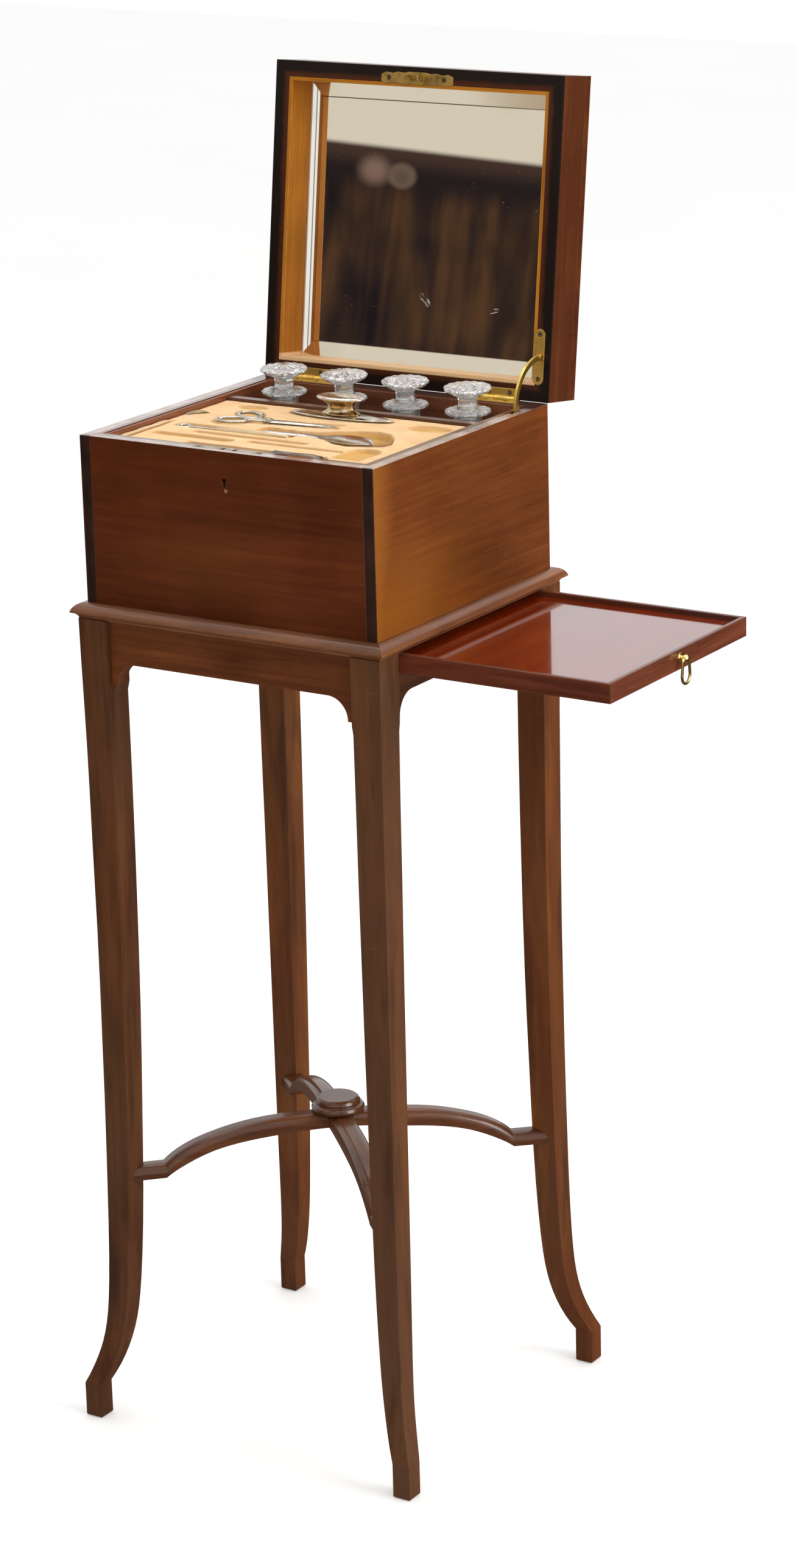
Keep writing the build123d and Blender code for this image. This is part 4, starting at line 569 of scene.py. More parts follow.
def velvet_mat():
    m = Mat("cream_velvet")
    p = m.obj()
    x, y, z = m.sep(p)
    pile = m.noise(m.mapped(p, scale=(1400, 1400, 1400)), 1.0, 3.0, 0.65)
    nap = m.noise(m.mapped(p, scale=(55, 120, 55)), 1.0, 4.0, 0.6, 0.6)
    worn = m.noise(m.mapped(p, scale=(24, 24, 24)), 1.0, 3.0, 0.55, 0.4)
    depth = m.math("SUBTRACT", 0.9330, z)
    floor = m.rng(depth, 0.0014, 0.0032, 0.0, 1.0, smooth=True)
    col = m.mix(m.rng(nap, 0.3, 0.7), (0.680, 0.430, 0.215), (0.780, 0.540, 0.300))
    col = m.mix(m.math("MULTIPLY", m.rng(worn, 0.45, 0.68), 0.40), col, (0.66, 0.405, 0.175))
    low = m.mix(m.rng(worn, 0.35, 0.65), (0.52, 0.285, 0.075), (0.64, 0.385, 0.115))
    col = m.mix(m.math("MULTIPLY", floor, 0.90), col, low)
    # painted shade: darker in the deepest recesses
    deep_recess_shade = m.rng(depth, 0.0045, 0.0070, 0.0, 1.0, smooth=True)
    col = m.mix(m.math("MULTIPLY", deep_recess_shade, 0.40), col, (0.36, 0.185, 0.060))
    # painted shade along the upper walls of the recesses
    recess_wall_shade = m.math("MULTIPLY", m.rng(depth, 0.0003, 0.0012, 0.0, 1.0), m.rng(depth, 0.0030, 0.0014, 0.0, 1.0))
    col = m.mix(m.math("MULTIPLY", recess_wall_shade, 0.45), col, (0.38, 0.19, 0.075))
    # painted shade: a dark reddish patch on the floor where the widest recess ends
    q = m.new("ShaderNodeVectorMath", operation="DISTANCE")
    m.put(q.inputs[0], m.mapped(p, scale=(1, 1, 0)))
    q.inputs[1].default_value = (0.092, -0.036, 0)
    col = m.mix(m.math("MULTIPLY", m.rng(q.outputs["Value"], 0.014, 0.030, 0.9, 0.0, smooth=True), floor), col, (0.235, 0.105, 0.050))
    h = m.math("ADD", m.math("MULTIPLY", pile, 0.5), m.math("MULTIPLY", nap, 0.7))
    m.set(color=col, rough=0.92, sheen=0.14, sheen_rough=0.4, sheen_tint=(1.0, 0.93, 0.80, 1.0), spec=0.15, normal=m.bump(h, 0.35, 0.0006))
    return m.m


M["velvet"] = velvet_mat()


def ribbon_mat(name, a, b):
    m = Mat(name)
    p = m.obj()
    wv = m.new("ShaderNodeTexWave", wave_type="BANDS", bands_direction="Y")
    m.put(wv.inputs["Vector"], p)
    wv.inputs["Scale"].default_value = 620.0
    n = m.noise(m.mapped(p, scale=(200, 200, 200)), 1.0, 3.0, 0.6)
    col = m.mix(m.rng(n, 0.35, 0.65), a, b)
    col = m.mix(m.math("MULTIPLY", wv.outputs["Fac"], 0.3), col, tuple(0.5 * c for c in a))
    m.set(color=col, rough=0.62, sheen=0.3, sheen_rough=0.4, normal=m.bump(wv.outputs["Fac"], 0.3, 0.0003))
    return m.m


M["ribbon"] = ribbon_mat("silk_ribbon", (0.62, 0.40, 0.18), (0.80, 0.58, 0.30))
M["olive"] = ribbon_mat("olive_silk", (0.17, 0.15, 0.045), (0.34, 0.27, 0.10))


def leather_mat():
    m = Mat("chamois_leather")
    p = m.obj()
    v = m.new("ShaderNodeTexVoronoi")
    m.put(v.inputs["Vector"], m.mapped(p, scale=(900, 900, 900)))
    n = m.noise(m.mapped(p, scale=(120, 120, 120)), 1.0, 4.0, 0.6)
    col = m.mix(m.rng(n, 0.35, 0.65), (0.50, 0.34, 0.19), (0.66, 0.50, 0.31))
    m.set(color=col, rough=0.85, sheen=0.3, normal=m.bump(m.math("ADD", v.outputs["Distance"], n), 0.35, 0.0004))
    return m.m


M["leather"] = leather_mat()


# ------------------------------------------------------------------ finish of the CAD pieces
def give(node, mat):
    o = NODES[node]
    if not o.material_slots:
        o.data.materials.append(mat)
    for s in o.material_slots:
        s.material = mat


FINISH = {
    "leg": [n for n in NODES if n.startswith("leg_")],
    "mah_x": ["aprons_front_back"], "mah_y": ["apron_left", "rail_right"],
    "second_x": ["slide_guides", "stand_top", "box_bottom", "tray_board", "slide_stop"], "second_y": ["tray_bearers"],
    "moulding": ["stand_moulding"], "arm_a": ["stretcher_lower_member"], "arm_b": ["stretcher_upper_member"], "boss": ["stretcher_boss"],
    "ebony": ["corner_strips"], "brass_lock": ["lock_case"], "brass": ["lock_bolt", "hinge_box_leaves", "hinge_pins", "lid_stay"],
    "brass_lid": ["hinge_lid_leaves", "stay_plate"], "brass_link": ["link_plate"], "screw": ["box_and_boss_screws", "lid_screws_and_rivet"],
    "front": ["box_front"], "back": ["box_back"], "side": ["box_left", "box_right"], "lining_box": ["box_lining"], "divider": ["bottle_divider"],
    "lid_x": ["lid_front", "lid_back"], "lid_y": ["lid_sides"], "lid_top": ["lid_top"], "lining_lid": ["lid_lining"], "mirror": ["mirror"],
    "slide_top": ["slide_panel"], "slide_edge": ["slide_edging"], "brass_pull": ["pull_stalk", "pull_loop"],
    "silver": ["buffer_base", "buffer_grip", "shoehorn"], "steel": ["scissors_lower_half", "scissors_upper_half", "hook_and_file_steel"],
    "bone": ["hook_and_file_handles"], "leather": ["buffer_pad"], "velvet": ["tray_pad"], "crystal": ["bottles"] + ["stopper_%d" % i for i in range(1, 5)],
}
M["backboard"] = wood("mirror_backboard_wood", "X", seed=21, coords="lid", rough=0.6, coat=0.0, dark=(0.10, 0.05, 0.025), mid=(0.20, 0.11, 0.05), light=(0.30, 0.18, 0.09))
FINISH["backboard"] = ["mirror_backboard"]
done = set()
for k, ns in FINISH.items():
    for n in ns:
        give(n, M[k])
        done.add(n)
missing = sorted(set(NODES) - done)
if missing:
    print("nodes without a finish:", missing)


# ------------------------------------------------------------------ mesh helpers
def add_mesh(name, verts_mm, faces, mat, body, replaces=(), smooth=True, angle=None):
    me = bpy.data.meshes.new(name)
    v = (np.array(verts_mm, float) - REF) / 1000.0
    me.from_pydata([tuple(p) for p in v], [], [tuple(int(i) for i in f) for f in faces])
    me.validate()
    me.update()
    bm = bmesh.new()
    bm.from_mesh(me)
    bmesh.ops.recalc_face_normals(bm, faces=bm.faces)
    bm.to_mesh(me)
    bm.free()
    me.polygons.foreach_set("use_smooth", [smooth] * len(me.polygons))
    if smooth and angle is not None:
        me.set_sharp_from_angle(angle=radians(angle))
    me.materials.append(mat)
    ob = bpy.data.objects.new(name, me)
    scene.collection.objects.link(ob)
    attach(ob, body)
    if replaces:
        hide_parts(*replaces)
    return ob


def ring_loft(rings, closed_ends=True):
    """Rings (lists of equally many points) joined into one closed skin."""
    n = len(rings[0])
    verts = [p for r in rings for p in r]
    faces = []
    for i in range(len(rings) - 1):
        for j in range(n):
            a, b = i * n + j, i * n + (j + 1) % n
            faces.append((a, b, b + n, a + n))
    if closed_ends:
        faces.append(tuple(reversed(range(n))))
        faces.append(tuple(range((len(rings) - 1) * n, len(rings) * n)))
    return verts, faces


def sweep(path, sect, closed=False, up=(0, 0, 1)):
    """A section (width, height, power) swept along a path lying roughly in a plane."""
    pts = [np.array(p, float) for p in path]
    n = len(pts)
    up = np.array(up, float)
    rings = []
    for i, p in enumerate(pts):
        a = pts[(i - 1) % n] if closed or i > 0 else p
        b = pts[(i + 1) % n] if closed or i < n - 1 else p
        t = b - a
        t /= np.linalg.norm(t) + 1e-12
        side = np.cross(up, t)
        side /= np.linalg.norm(side) + 1e-12
        nn = np.cross(t, side)
        w, h = sect(i / (n if closed else n - 1))
        rings.append([tuple(p + side * w * np.sign(cos(u)) * abs(cos(u)) ** 0.85 + nn * h * np.sign(sin(u)) * abs(sin(u)) ** 0.85)
                      for u in np.linspace(0, 2 * pi, 15)[:-1]])
    if closed:
        m = len(rings[0])
        verts = [q for r in rings for q in r]
        faces = []
        for i in range(n):
            for j in range(m):
                k = (i + 1) % n
                faces.append((i * m + j, i * m + (j + 1) % m, k * m + (j + 1) % m, k * m + j))
        return verts, faces
    return ring_loft(rings)


def merge(parts):
    V, F = [], []
    for v, f in parts:
        o = len(V)
        V += list(v)
        F += [tuple(i + o for i in q) for q in f]
    return V, F


# ------------------------------------------------------------------ velvet pad with its shaped recesses
PAD_Z = 933.0
TX, TY0, TY1 = 133.9, -125.75, 54.4


def sd_oval(x, y, cx, cy, rx, ry, ang=0.0):
    a = radians(ang)
    u = (x - cx) * cos(a) + (y - cy) * sin(a)
    v = -(x - cx) * sin(a) + (y - cy) * cos(a)
    k = np.sqrt((u / rx) ** 2 + (v / ry) ** 2)
    g = np.sqrt((u / rx ** 2) ** 2 + (v / ry ** 2) ** 2) + 1e-9
    return k * (k - 1) / g


def sd_slot(x, y, x0, x1, yy, w):
    r = w / 2
    dx = np.clip(x, x0 + r, x1 - r)
    return np.hypot(x - dx, y - yy) - r


def sd_vslot(x, y, xx, y0, y1, w):
    r = w / 2
    dy = np.clip(y, y0 + r, y1 - r)
    return np.hypot(x - xx, y - dy) - r


def sd_poly(x, y, pts):
    d = np.full(x.shape, 1e9)
    s = np.ones(x.shape)
    n = len(pts)
    for i in range(n):
        ax, ay = pts[i]
        bx, by = pts[i - 1]
        ex, ey = bx - ax, by - ay
        wx, wy = x - ax, y - ay
        t = np.clip((wx * ex + wy * ey) / (ex * ex + ey * ey), 0, 1)
        d = np.minimum(d, np.hypot(wx - ex * t, wy - ey * t))
        c1, c2, c3 = y >= ay, y < by, ex * wy > ey * wx
        flip = (c1 & c2 & c3) | (~c1 & ~c2 & ~c3)
        s = np.where(flip, -s, s)
    return d * s


def make_pad():
    step = 1.0
    xs = np.linspace(-TX, TX, int(2 * TX / step) + 1)
    ys = np.linspace(TY0, TY1, int((TY1 - TY0) / step) + 1)
    X, Y = np.meshgrid(xs, ys, indexing="ij")
    rec = [(sd_oval(X, Y, 3, 36.5, 55, 13.5), 7.0, 2.6), (sd_oval(X, Y, -93, 37, 15.5, 8.5), 3.0, 3.2), (sd_oval(X, Y, 100, 29.5, 22, 12.5), 3.0, 3.4),
           (sd_slot(X, Y, -118, 9, -49.0, 15.0), 7.2, 3.6), (sd_slot(X, Y, -86, 36, -67.5, 8.0), 4.6, 3.0), (sd_slot(X, Y, -117, -30, -85, 11.0), 5.0, 3.2),
           (sd_slot(X, Y, -19, 81, -81.5, 7.5), 4.4, 2.8), (sd_slot(X, Y, -68, 84, -110, 14.0), 6.6, 3.4), (sd_vslot(X, Y, -126, -113, -39, 5.0), 2.6, 2.0),
           (sd_poly(X, Y, [(82, -104), (112, -104), (113, -74), (109.5, -66), (103, -61.5), (92, -61.5), (85.5, -66), (82, -74)]) - 1.0, 4.4, 3.2),
           (sd_oval(X, Y, -79, 12, 18.0, 12.5, -28), 2.1, 1.4), (sd_oval(X, Y, -76.5, -20.5, 18.0, 12.5, 18), 2.1, 1.4),
           (sd_poly(X, Y, [(-70, 10), (-60, 9), (-44, 1), (21, 11.5), (25, 8), (19, 2), (28, -3), (28, -7.5), (-36, -16), (-58, -20), (-66, -14), (-58, -6)]), 2.1, 1.4),
           (sd_poly(X, Y, [(-38, -28), (-34, -25), (0, -27), (15, -24), (33, -13), (48, -4.5), (66, 0.5), (80, -3.5), (93, -18), (104, -40), (101, -49),
                           (90, -54.5), (71, -61), (55, -57), (39, -46.5), (22, -42.5), (0, -45.5), (-32, -46), (-38, -43)]) - 0.5, 6.6, 3.2)]
    depth = np.zeros_like(X)
    swell = np.zeros_like(X)
    for sd, d, w in rec:
        t = np.clip((-sd + 0.6) / w, 0, 1)
        depth = np.maximum(depth, d * (t * t * (3 - 2 * t)))
        swell = np.maximum(swell, np.exp(-((np.clip(sd, 0, 99) - 2.2) / 2.2) ** 2) * (sd > 0))
    e = np.minimum(np.minimum(TX - np.abs(X), Y - TY0), TY1 - Y)
    edge = 1 - np.clip(e / 3.2, 0, 1)
    lump = np.array([[mnoise.noise(Vector((x * 0.045, y * 0.045, 3.7))) for y in ys] for x in xs])
    fine = np.array([[mnoise.noise(Vector((x * 0.16, y * 0.16, 9.1))) for y in ys] for x in xs])
    Z = PAD_Z - depth - 2.0 * edge ** 2.2 + 0.22 * lump + 0.10 * fine
    Z += np.where(depth < 0.3, 0.16 * swell, 0.0) - 0.28
    Z = np.minimum(Z, PAD_Z - 0.02)
    nx, ny = X.shape
    top = np.stack([X.ravel(), Y.ravel(), Z.ravel()], 1)
    idx = np.arange(nx * ny).reshape(nx, ny)
    faces = np.stack([idx[:-1, :-1].ravel(), idx[1:, :-1].ravel(), idx[1:, 1:].ravel(), idx[:-1, 1:].ravel()], 1).tolist()
    rim = list(idx[:, 0]) + list(idx[-1, 1:]) + list(idx[-2::-1, -1]) + list(idx[0, -2:0:-1])
    verts = top.tolist()
    prev = rim
    for zz, inset in ((928.0, 0.0), (920.0, 0.15), (914.02, 0.0)):
        cur = []
        for i in rim:
            x, y, z = top[i]
            cur.append(len(verts))
            verts.append([x - np.sign(x) * inset, y, zz])
        n = len(rim)
        for j in range(n):
            faces.append([prev[j], cur[j], cur[(j + 1) % n], prev[(j + 1) % n]])
        prev = cur
    faces.append(list(prev))
    ob = add_mesh("velvet_pad", verts, faces, M["velvet"], "tray", ["tray_pad"], smooth=True, angle=50)
    return ob


make_pad()


# ------------------------------------------------------------------ cut glass: bottles and their stoppers
BY = 96.5
CXS = [-98.4, -32.8, 32.8, 98.4]


def cut_ring(cx, r, z, n=96, flutes=0, amp=0.0, zamp=0.0, phase=0.0, facets=0):
    pts = []
    for i in range(n):
        t = 2 * pi * i / n
        k = 1.0
        dz = 0.0
        if flutes:
            u = (t * flutes / (2 * pi) + phase) % 1.0
            cusp = abs(sin(pi * u))                      # 0 at the points between scallops, 1 mid scallop
            k -= amp * (1 - cusp)
            dz = zamp * (1 - cusp)
        if facets:
            u = ((t * facets / (2 * pi) + phase) % 1.0 - 0.5) * 2 * pi / facets
            k *= cos(pi / facets) / cos(u)
        pts.append((cx + r * k * cos(t), BY + r * k * sin(t), z + dz))
    return pts


def make_stopper(i, cx):
    R = []
    for r, z in ((7.2, 916.0), (8.1, 918.0), (8.1, 938.6)):
        R.append(cut_ring(cx, r, z))
    for r, z in ((9.6, 938.9), (9.4, 940.4), (8.8, 943.2), (8.7, 946.0), (9.2, 948.2)):
        R.append(cut_ring(cx, r, z, facets=8))
    for r, z, a, za in ((12.0, 949.9, 0.02, 0.0), (16.2, 951.8, 0.03, 0.0), (19.8, 953.8, 0.045, -0.10), (21.2, 954.9, 0.055, -0.25), (21.7, 956.2, 0.060, -0.35),
                        (21.5, 957.4, 0.062, -0.55), (20.4, 958.5, 0.060, -0.75)):
        R.append(cut_ring(cx, r, z, flutes=14, amp=a, zamp=za, phase=i * 0.21))
    # star-cut top: alternating ridges and valleys running in to a small flat table
    for r, z, za in ((17.6, 959.5, -1.25), (14.2, 959.8, -1.30), (10.6, 960.1, -1.20), (7.4, 960.4, -0.85), (4.6, 960.7, -0.4)):
        R.append(cut_ring(cx, r, z, flutes=14, amp=0.02, zamp=za, phase=i * 0.21 + (0.5 if r < 15 else 0.0)))
    R.append(cut_ring(cx, 2.2, 960.9))
    v, f = ring_loft(R)
    return add_mesh("stopper_glass_%s" % "abcd"[i], v, f, M["crystal"], "stopper_%s" % "abcd"[i], ["stopper_%d" % (i + 1)], smooth=True, angle=14)


def sq_ring(cx, hx, hy, z, rad, n=96, cut=0.0):
    """Rounded rectangle."""
    pts = []
    for i in range(n):
        t = 2 * pi * i / n
        c, s = cos(t), sin(t)
        p = 6.0
        k = (abs(c) ** p + abs(s) ** p) ** (-1 / p)
        pts.append((cx + hx * k * c, BY + hy * k * s, z))
    return pts


def make_bottle(i, cx):
    outer = []
    for hx, hy, z in ((27.0, 24.5, 797.0), (30.0, 27.5, 798.5), (30.5, 28.0, 801.5), (30.5, 28.0, 850.0), (30.5, 28.0, 900.0), (30.1, 27.6, 905.0), (28.4, 25.9, 908.4), (24.9, 22.5, 911.6)):
        outer.append(sq_ring(cx, hx, hy, z, 9.0))
    for r, z in ((18.6, 912.9), (16.0, 915.2), (13.7, 918.2), (13.0, 921.0), (12.9, 926.0), (13.1, 930.2)):
        outer.append(cut_ring(cx, r, z, facets=10 if z > 916 else 0))
    for r, z, a, za in ((15.6, 932.2, 0.02, 0.0), (19.6, 933.4, 0.05, 0.0), (21.0, 934.8, 0.065, -0.1), (21.0, 936.2, 0.070, -0.3), (20.2, 937.2, 0.070, -0.55),
                        (18.4, 938.0, 0.04, -0.75), (15.4, 938.3, 0.03, -0.70), (12.4, 938.45, 0.015, -0.35)):
        outer.append(cut_ring(cx, r, z, flutes=16, amp=a, zamp=za, phase=i * 0.17))
    outer.append(cut_ring(cx, 9.4, 938.5))
    outer.append(cut_ring(cx, 8.2, 938.3))
    inner = [cut_ring(cx, 8.2, 915.0), cut_ring(cx, 8.2, 905.5)]
    for hx, hy, z in ((14.0, 13.0, 904.8), (22.0, 20.0, 902.6), (25.5, 23.0, 898.0), (25.5, 23.0, 850.0), (25.5, 23.0, 808.0), (23.5, 21.0, 803.6)):
        inner.append(sq_ring(cx, hx, hy, z, 6.0))
    v, f = ring_loft(outer + inner)
    return add_mesh("bottle_glass_%s" % "abcd"[i], v, f, M["crystal"], "stand", ["bottles"], smooth=True, angle=14)


for i, cx in enumerate(CXS):
    make_stopper(i, cx)
    make_bottle(i, cx)


# ------------------------------------------------------------------ shoehorn: dished bowl, narrow handle with a turned shoulder
def make_shoehorn():
    up = [(-30, -36.6), (-26, -35.2), (-10, -34.6), (10, -32.0), (25, -29.2), (38, -26.0), (54, -25.2), (69, -27.2), (81, -33.5), (86.5, -41.5)]
    lo = [(-30, -40.6), (-26, -41.9), (-10, -41.0), (10, -39.4), (25, -40.2), (36, -44.6), (48, -51.0), (62, -55.4), (76, -54.6), (84, -50.0), (86.5, -42.5)]
    n, m = 90, 17

    def along(pts, k):
        d = [0.0]
        for a, b in zip(pts, pts[1:]):
            d.append(d[-1] + math.hypot(b[0] - a[0], b[1] - a[1]))
        s = k * d[-1]
        i = max(0, min(len(d) - 2, int(np.searchsorted(d, s) - 1)))
        t = (s - d[i]) / (d[i + 1] - d[i])
        p0, p1 = np.array(pts[i]), np.array(pts[i + 1])
        return p0 + (p1 - p0) * t
    U = np.array([along(up, k) for k in np.linspace(0, 1, n)])
    L = np.array([along(lo, k) for k in np.linspace(0, 1, n)])
    for _ in range(5):
        U[1:-1] = (U[:-2] + 2 * U[1:-1] + U[2:]) / 4
        L[1:-1] = (L[:-2] + 2 * L[1:-1] + L[2:]) / 4
    rings = []
    for i in range(n):
        k = i / (n - 1)
        bowl = np.clip((k - 0.42) / 0.35, 0, 1)
        bowl = bowl * bowl * (3 - 2 * bowl)
        end = np.clip((1 - k) / 0.10, 0, 1)
        top, bot = [], []
        for j in range(m):
            w = j / (m - 1)
            p = U[i] + (L[i] - U[i]) * w
            q = (2 * w - 1) ** 2                                # 0 in the middle, 1 at the edges
            crown = 1.15 * (1 - q) * (1 - bowl)                 # the handle is rounded over
            dish = bowl * (q * 2.4 - 0.2) * (0.35 + 0.65 * end)
            zt = 931.6 + crown + dish
            zt += 0.30 * math.exp(-((k - 0.30) / 0.012) ** 2) + 0.30 * math.exp(-((k - 0.335) / 0.010) ** 2)
            top.append((p[0], p[1], min(zt, 934.2)))
            bot.append((p[0], p[1], max(930.75, min(zt, 934.2) - 0.9 - 0.6 * (1 - bowl) * (1 - q))))
        rings.append(top + bot[::-1])
    v, f = ring_loft(rings)
    return add_mesh("shoehorn_silver", v, f, M["silver"], "tray", ["shoehorn"], smooth=True, angle=60)


make_shoehorn()


# ------------------------------------------------------------------ scissors with rounded bows and hollow-ground blades
SCP = np.array([-44.0, -8.5])


def half_scissors(name, loop_c, ang, tip, z0, body, node, flip):
    z = z0 + 1.0
    zr = z + (0.35 if flip < 0 else 0.0)                  # the upper half's bow and shank swing out over the pad
    parts = []
    a = radians(ang)
    ring = []
    for t in np.linspace(0, 2 * pi, 49)[:-1]:
        u, v = 14.2 * cos(t), 9.2 * sin(t) * (1 + 0.10 * cos(t))
        ring.append((loop_c[0] + u * cos(a) - v * sin(a), loop_c[1] + u * sin(a) + v * cos(a), zr))
    parts.append(sweep(ring, lambda k: (1.85 + 0.35 * cos(2 * pi * k), 1.30), closed=True))
    d = SCP - np.array(loop_c)
    L = np.linalg.norm(d)
    d = d / L
    nrm = np.array([-d[1], d[0]])
    p0 = np.array(loop_c) + d * 13.2
    path = []
    for k in np.linspace(0, 1, 18):
        q = p0 + (SCP - p0) * k + nrm * 1.1 * flip * sin(pi * k)
        path.append((q[0], q[1], zr + (z - zr) * k ** 3))
    parts.append(sweep(path, lambda k: (1.9 + 0.6 * abs(sin(3 * pi * k)) * (1 - k) + 1.5 * k ** 2, 1.15 - 0.18 * k)))
    # shoulder around the pivot, then the tapering blade with a ridge
    tipv = np.array(tip)
    b = tipv - SCP
    BL = np.linalg.norm(b)
    b = b / BL
    bn = np.array([-b[1], b[0]])
    rings = []
    for k in np.linspace(-0.06, 1, 34):
        q = SCP + b * BL * k
        w = 3.9 * (1 - max(k, 0)) ** 0.70 + 0.5
        if k < 0.0:
            w *= max(0.2, 1 + k * 12)
        hgt = 0.98 * (1 - 0.35 * max(k, 0))
        e = flip
        sec = [(-w, -0.98), (w, -0.98), (w, -0.55 if e > 0 else 0.4), (w * 0.35 * e, hgt), (-w * 0.25, hgt * 0.96), (-w, 0.4 if e > 0 else -0.55)]
        rings.append([(q[0] + bn[0] * s, q[1] + bn[1] * s, z + h) for s, h in sec])
    parts.append(ring_loft(rings))
    boss = [[(SCP[0] + r * cos(t), SCP[1] + r * sin(t), zz) for t in np.linspace(0, 2 * pi, 33)[:-1]] for r, zz in
            ((3.9, z - 0.98), (4.1, z - 0.5), (4.1, z + 0.5), (3.7, z + 0.98))]
    parts.append(ring_loft(boss))
    if body == "tray":
        scr = [[(SCP[0] + r * cos(t), SCP[1] + r * sin(t), zz) for t in np.linspace(0, 2 * pi, 33)[:-1]] for r, zz in
               ((1.6, z + 0.9), (1.6, 935.2), (2.9, 935.25), (2.9, 935.8), (2.2, 936.15), (1.0, 936.3))]
        parts.append(ring_loft(scr))
    v, f = merge(parts)
    return add_mesh(name, v, f, M["steel"], body, [node], smooth=True, angle=35)


half_scissors("scissors_half_below", (-79.0, 12.0), -28.0, (24.0, -6.6), 930.9, "tray", "scissors_lower_half", 1)
half_scissors("scissors_half_above", (-76.5, -20.5), 18.0, (23.6, -4.0), 933.05, "scissors_arm", "scissors_upper_half", -1)


# ------------------------------------------------------------------ nail buffer: chamois pad, boat-shaped base, waisted grip with a dished cap
BC = (3.0, 36.5)


def boat_ring(rx, ry, z, n=72, sag=0.0):
    pts = []
    for i in range(n):
        t = 2 * pi * i / n
        c, s = cos(t), sin(t)
        x = rx * (abs(c) ** 0.92) * (1 if c >= 0 else -1)
        y = ry * (abs(s) ** 1.35) * (1 if s >= 0 else -1)
        pts.append((BC[0] + x, BC[1] + y, z + sag * (x / rx) ** 2))
    return pts


def ell_ring(rx, ry, z, n=72):
    return [(BC[0] + rx * cos(2 * pi * i / n), BC[1] + ry * sin(2 * pi * i / n), z) for i in range(n)]


v, f = ring_loft([boat_ring(40, 7.5, 926.3), boat_ring(45, 9.0, 926.9), boat_ring(48.2, 9.8, 928.2), boat_ring(49, 10.0, 930.0), boat_ring(48.6, 9.9, 931.8), boat_ring(46, 9.2, 932.55)])
ob = add_mesh("buffer_chamois", v, f, M["leather"], "tray", ["buffer_pad"], smooth=True, angle=40)
v, f = ring_loft([boat_ring(50.5, 11.2, 932.65), boat_ring(53.0, 12.3, 933.0), boat_ring(53.5, 12.6, 933.9), boat_ring(52.6, 12.2, 934.6), boat_ring(49.0, 10.9, 935.0),
                  boat_ring(38.0, 8.6, 935.6), boat_ring(24.0, 6.4, 936.15)])
add_mesh("buffer_silver_base", v, f, M["buffer"], "tray", ["buffer_base"], smooth=True, angle=40)
G = [(18.0, 9.8, 935.7), (19.2, 10.6, 936.2), (19.4, 10.7, 937.0), (17.6, 9.7, 937.9), (15.4, 8.5, 938.9), (13.8, 7.7, 940.4), (13.2, 7.4, 942.0), (13.5, 7.6, 943.6), (14.9, 8.5, 945.4),
     (17.6, 10.2, 947.2), (20.8, 12.3, 948.7), (23.2, 13.9, 949.6), (24.2, 14.6, 950.4), (24.2, 14.6, 951.1), (23.2, 13.9, 951.9), (20.4, 12.1, 952.7), (15.5, 9.1, 953.3), (9.5, 5.5, 953.75),
     (3.5, 2.0, 953.95)]
v, f = ring_loft([ell_ring(*g) for g in G])
add_mesh("buffer_silver_grip", v, f, M["buffer"], "tray", ["buffer_grip"], smooth=True, angle=50)


# ------------------------------------------------------------------ ribbon for lifting the tray, and a small olive silk tab
def ribbon(name, path, width, mat, up=(0, 0, 1), thick=0.35):
    pts = [np.array(p, float) for p in path]
    # resample smoothly
    P = []
    for i in range(len(pts) - 1):
        p0 = pts[max(i - 1, 0)]
        p1, p2 = pts[i], pts[i + 1]
        p3 = pts[min(i + 2, len(pts) - 1)]
        for t in np.linspace(0, 1, 9)[:-1]:
            P.append(0.5 * ((2 * p1) + (-p0 + p2) * t + (2 * p0 - 5 * p1 + 4 * p2 - p3) * t * t + (-p0 + 3 * p1 - 3 * p2 + p3) * t ** 3))
    P.append(pts[-1])
    n = len(P)
    rings = []
    for i, p in enumerate(P):
        t = P[min(i + 1, n - 1)] - P[max(i - 1, 0)]
        t /= np.linalg.norm(t)
        side = np.array([-t[1], t[0], 0.0])
        side /= np.linalg.norm(side) + 1e-9
        nn = np.cross(t, side)
        ring = []
        m = 9
        for j in range(m):
            w = -1 + 2 * j / (m - 1)
            ring.append(tuple(p + side * w * width / 2 + nn * (thick / 2 - 0.12 * w * w + 0.08 * sin(5 * w + i * 0.4))))
        for j in range(m):
            w = 1 - 2 * j / (m - 1)
            ring.append(tuple(p + side * w * width / 2 - nn * (thick / 2 + 0.12 * w * w)))
        rings.append(ring)
    v, f = ring_loft(rings)
    return add_mesh(name, v, f, mat, "tray", smooth=True, angle=50)


ribbon("lifting_ribbon", [(-130.6, -113.0, 932.7), (-130.2, -104, 933.25), (-129.6, -92, 933.15), (-130.0, -78, 933.3), (-129.4, -64, 933.2), (-130.2, -52, 933.35), (-130.8, -42.0, 932.8)], 6.0, M["ribbon"])
ribbon("olive_tab", [(-130.0, -14.5, 932.9), (-127.5, -10.5, 934.3), (-123.5, -6.0, 935.2), (-120.0, -2.0, 934.4), (-117.5, 2.0, 932.9)], 6.0, M["olive"])


# ------------------------------------------------------------------ floor, backdrop, what the glass and the polish reflect, light
def plane(name, corners, mat):
    me = bpy.data.meshes.new(name)
    me.from_pydata([tuple(c) for c in corners], [], [(0, 1, 2, 3)])
    me.materials.append(mat)
    ob = bpy.data.objects.new(name, me)
    scene.collection.objects.link(ob)
    return ob


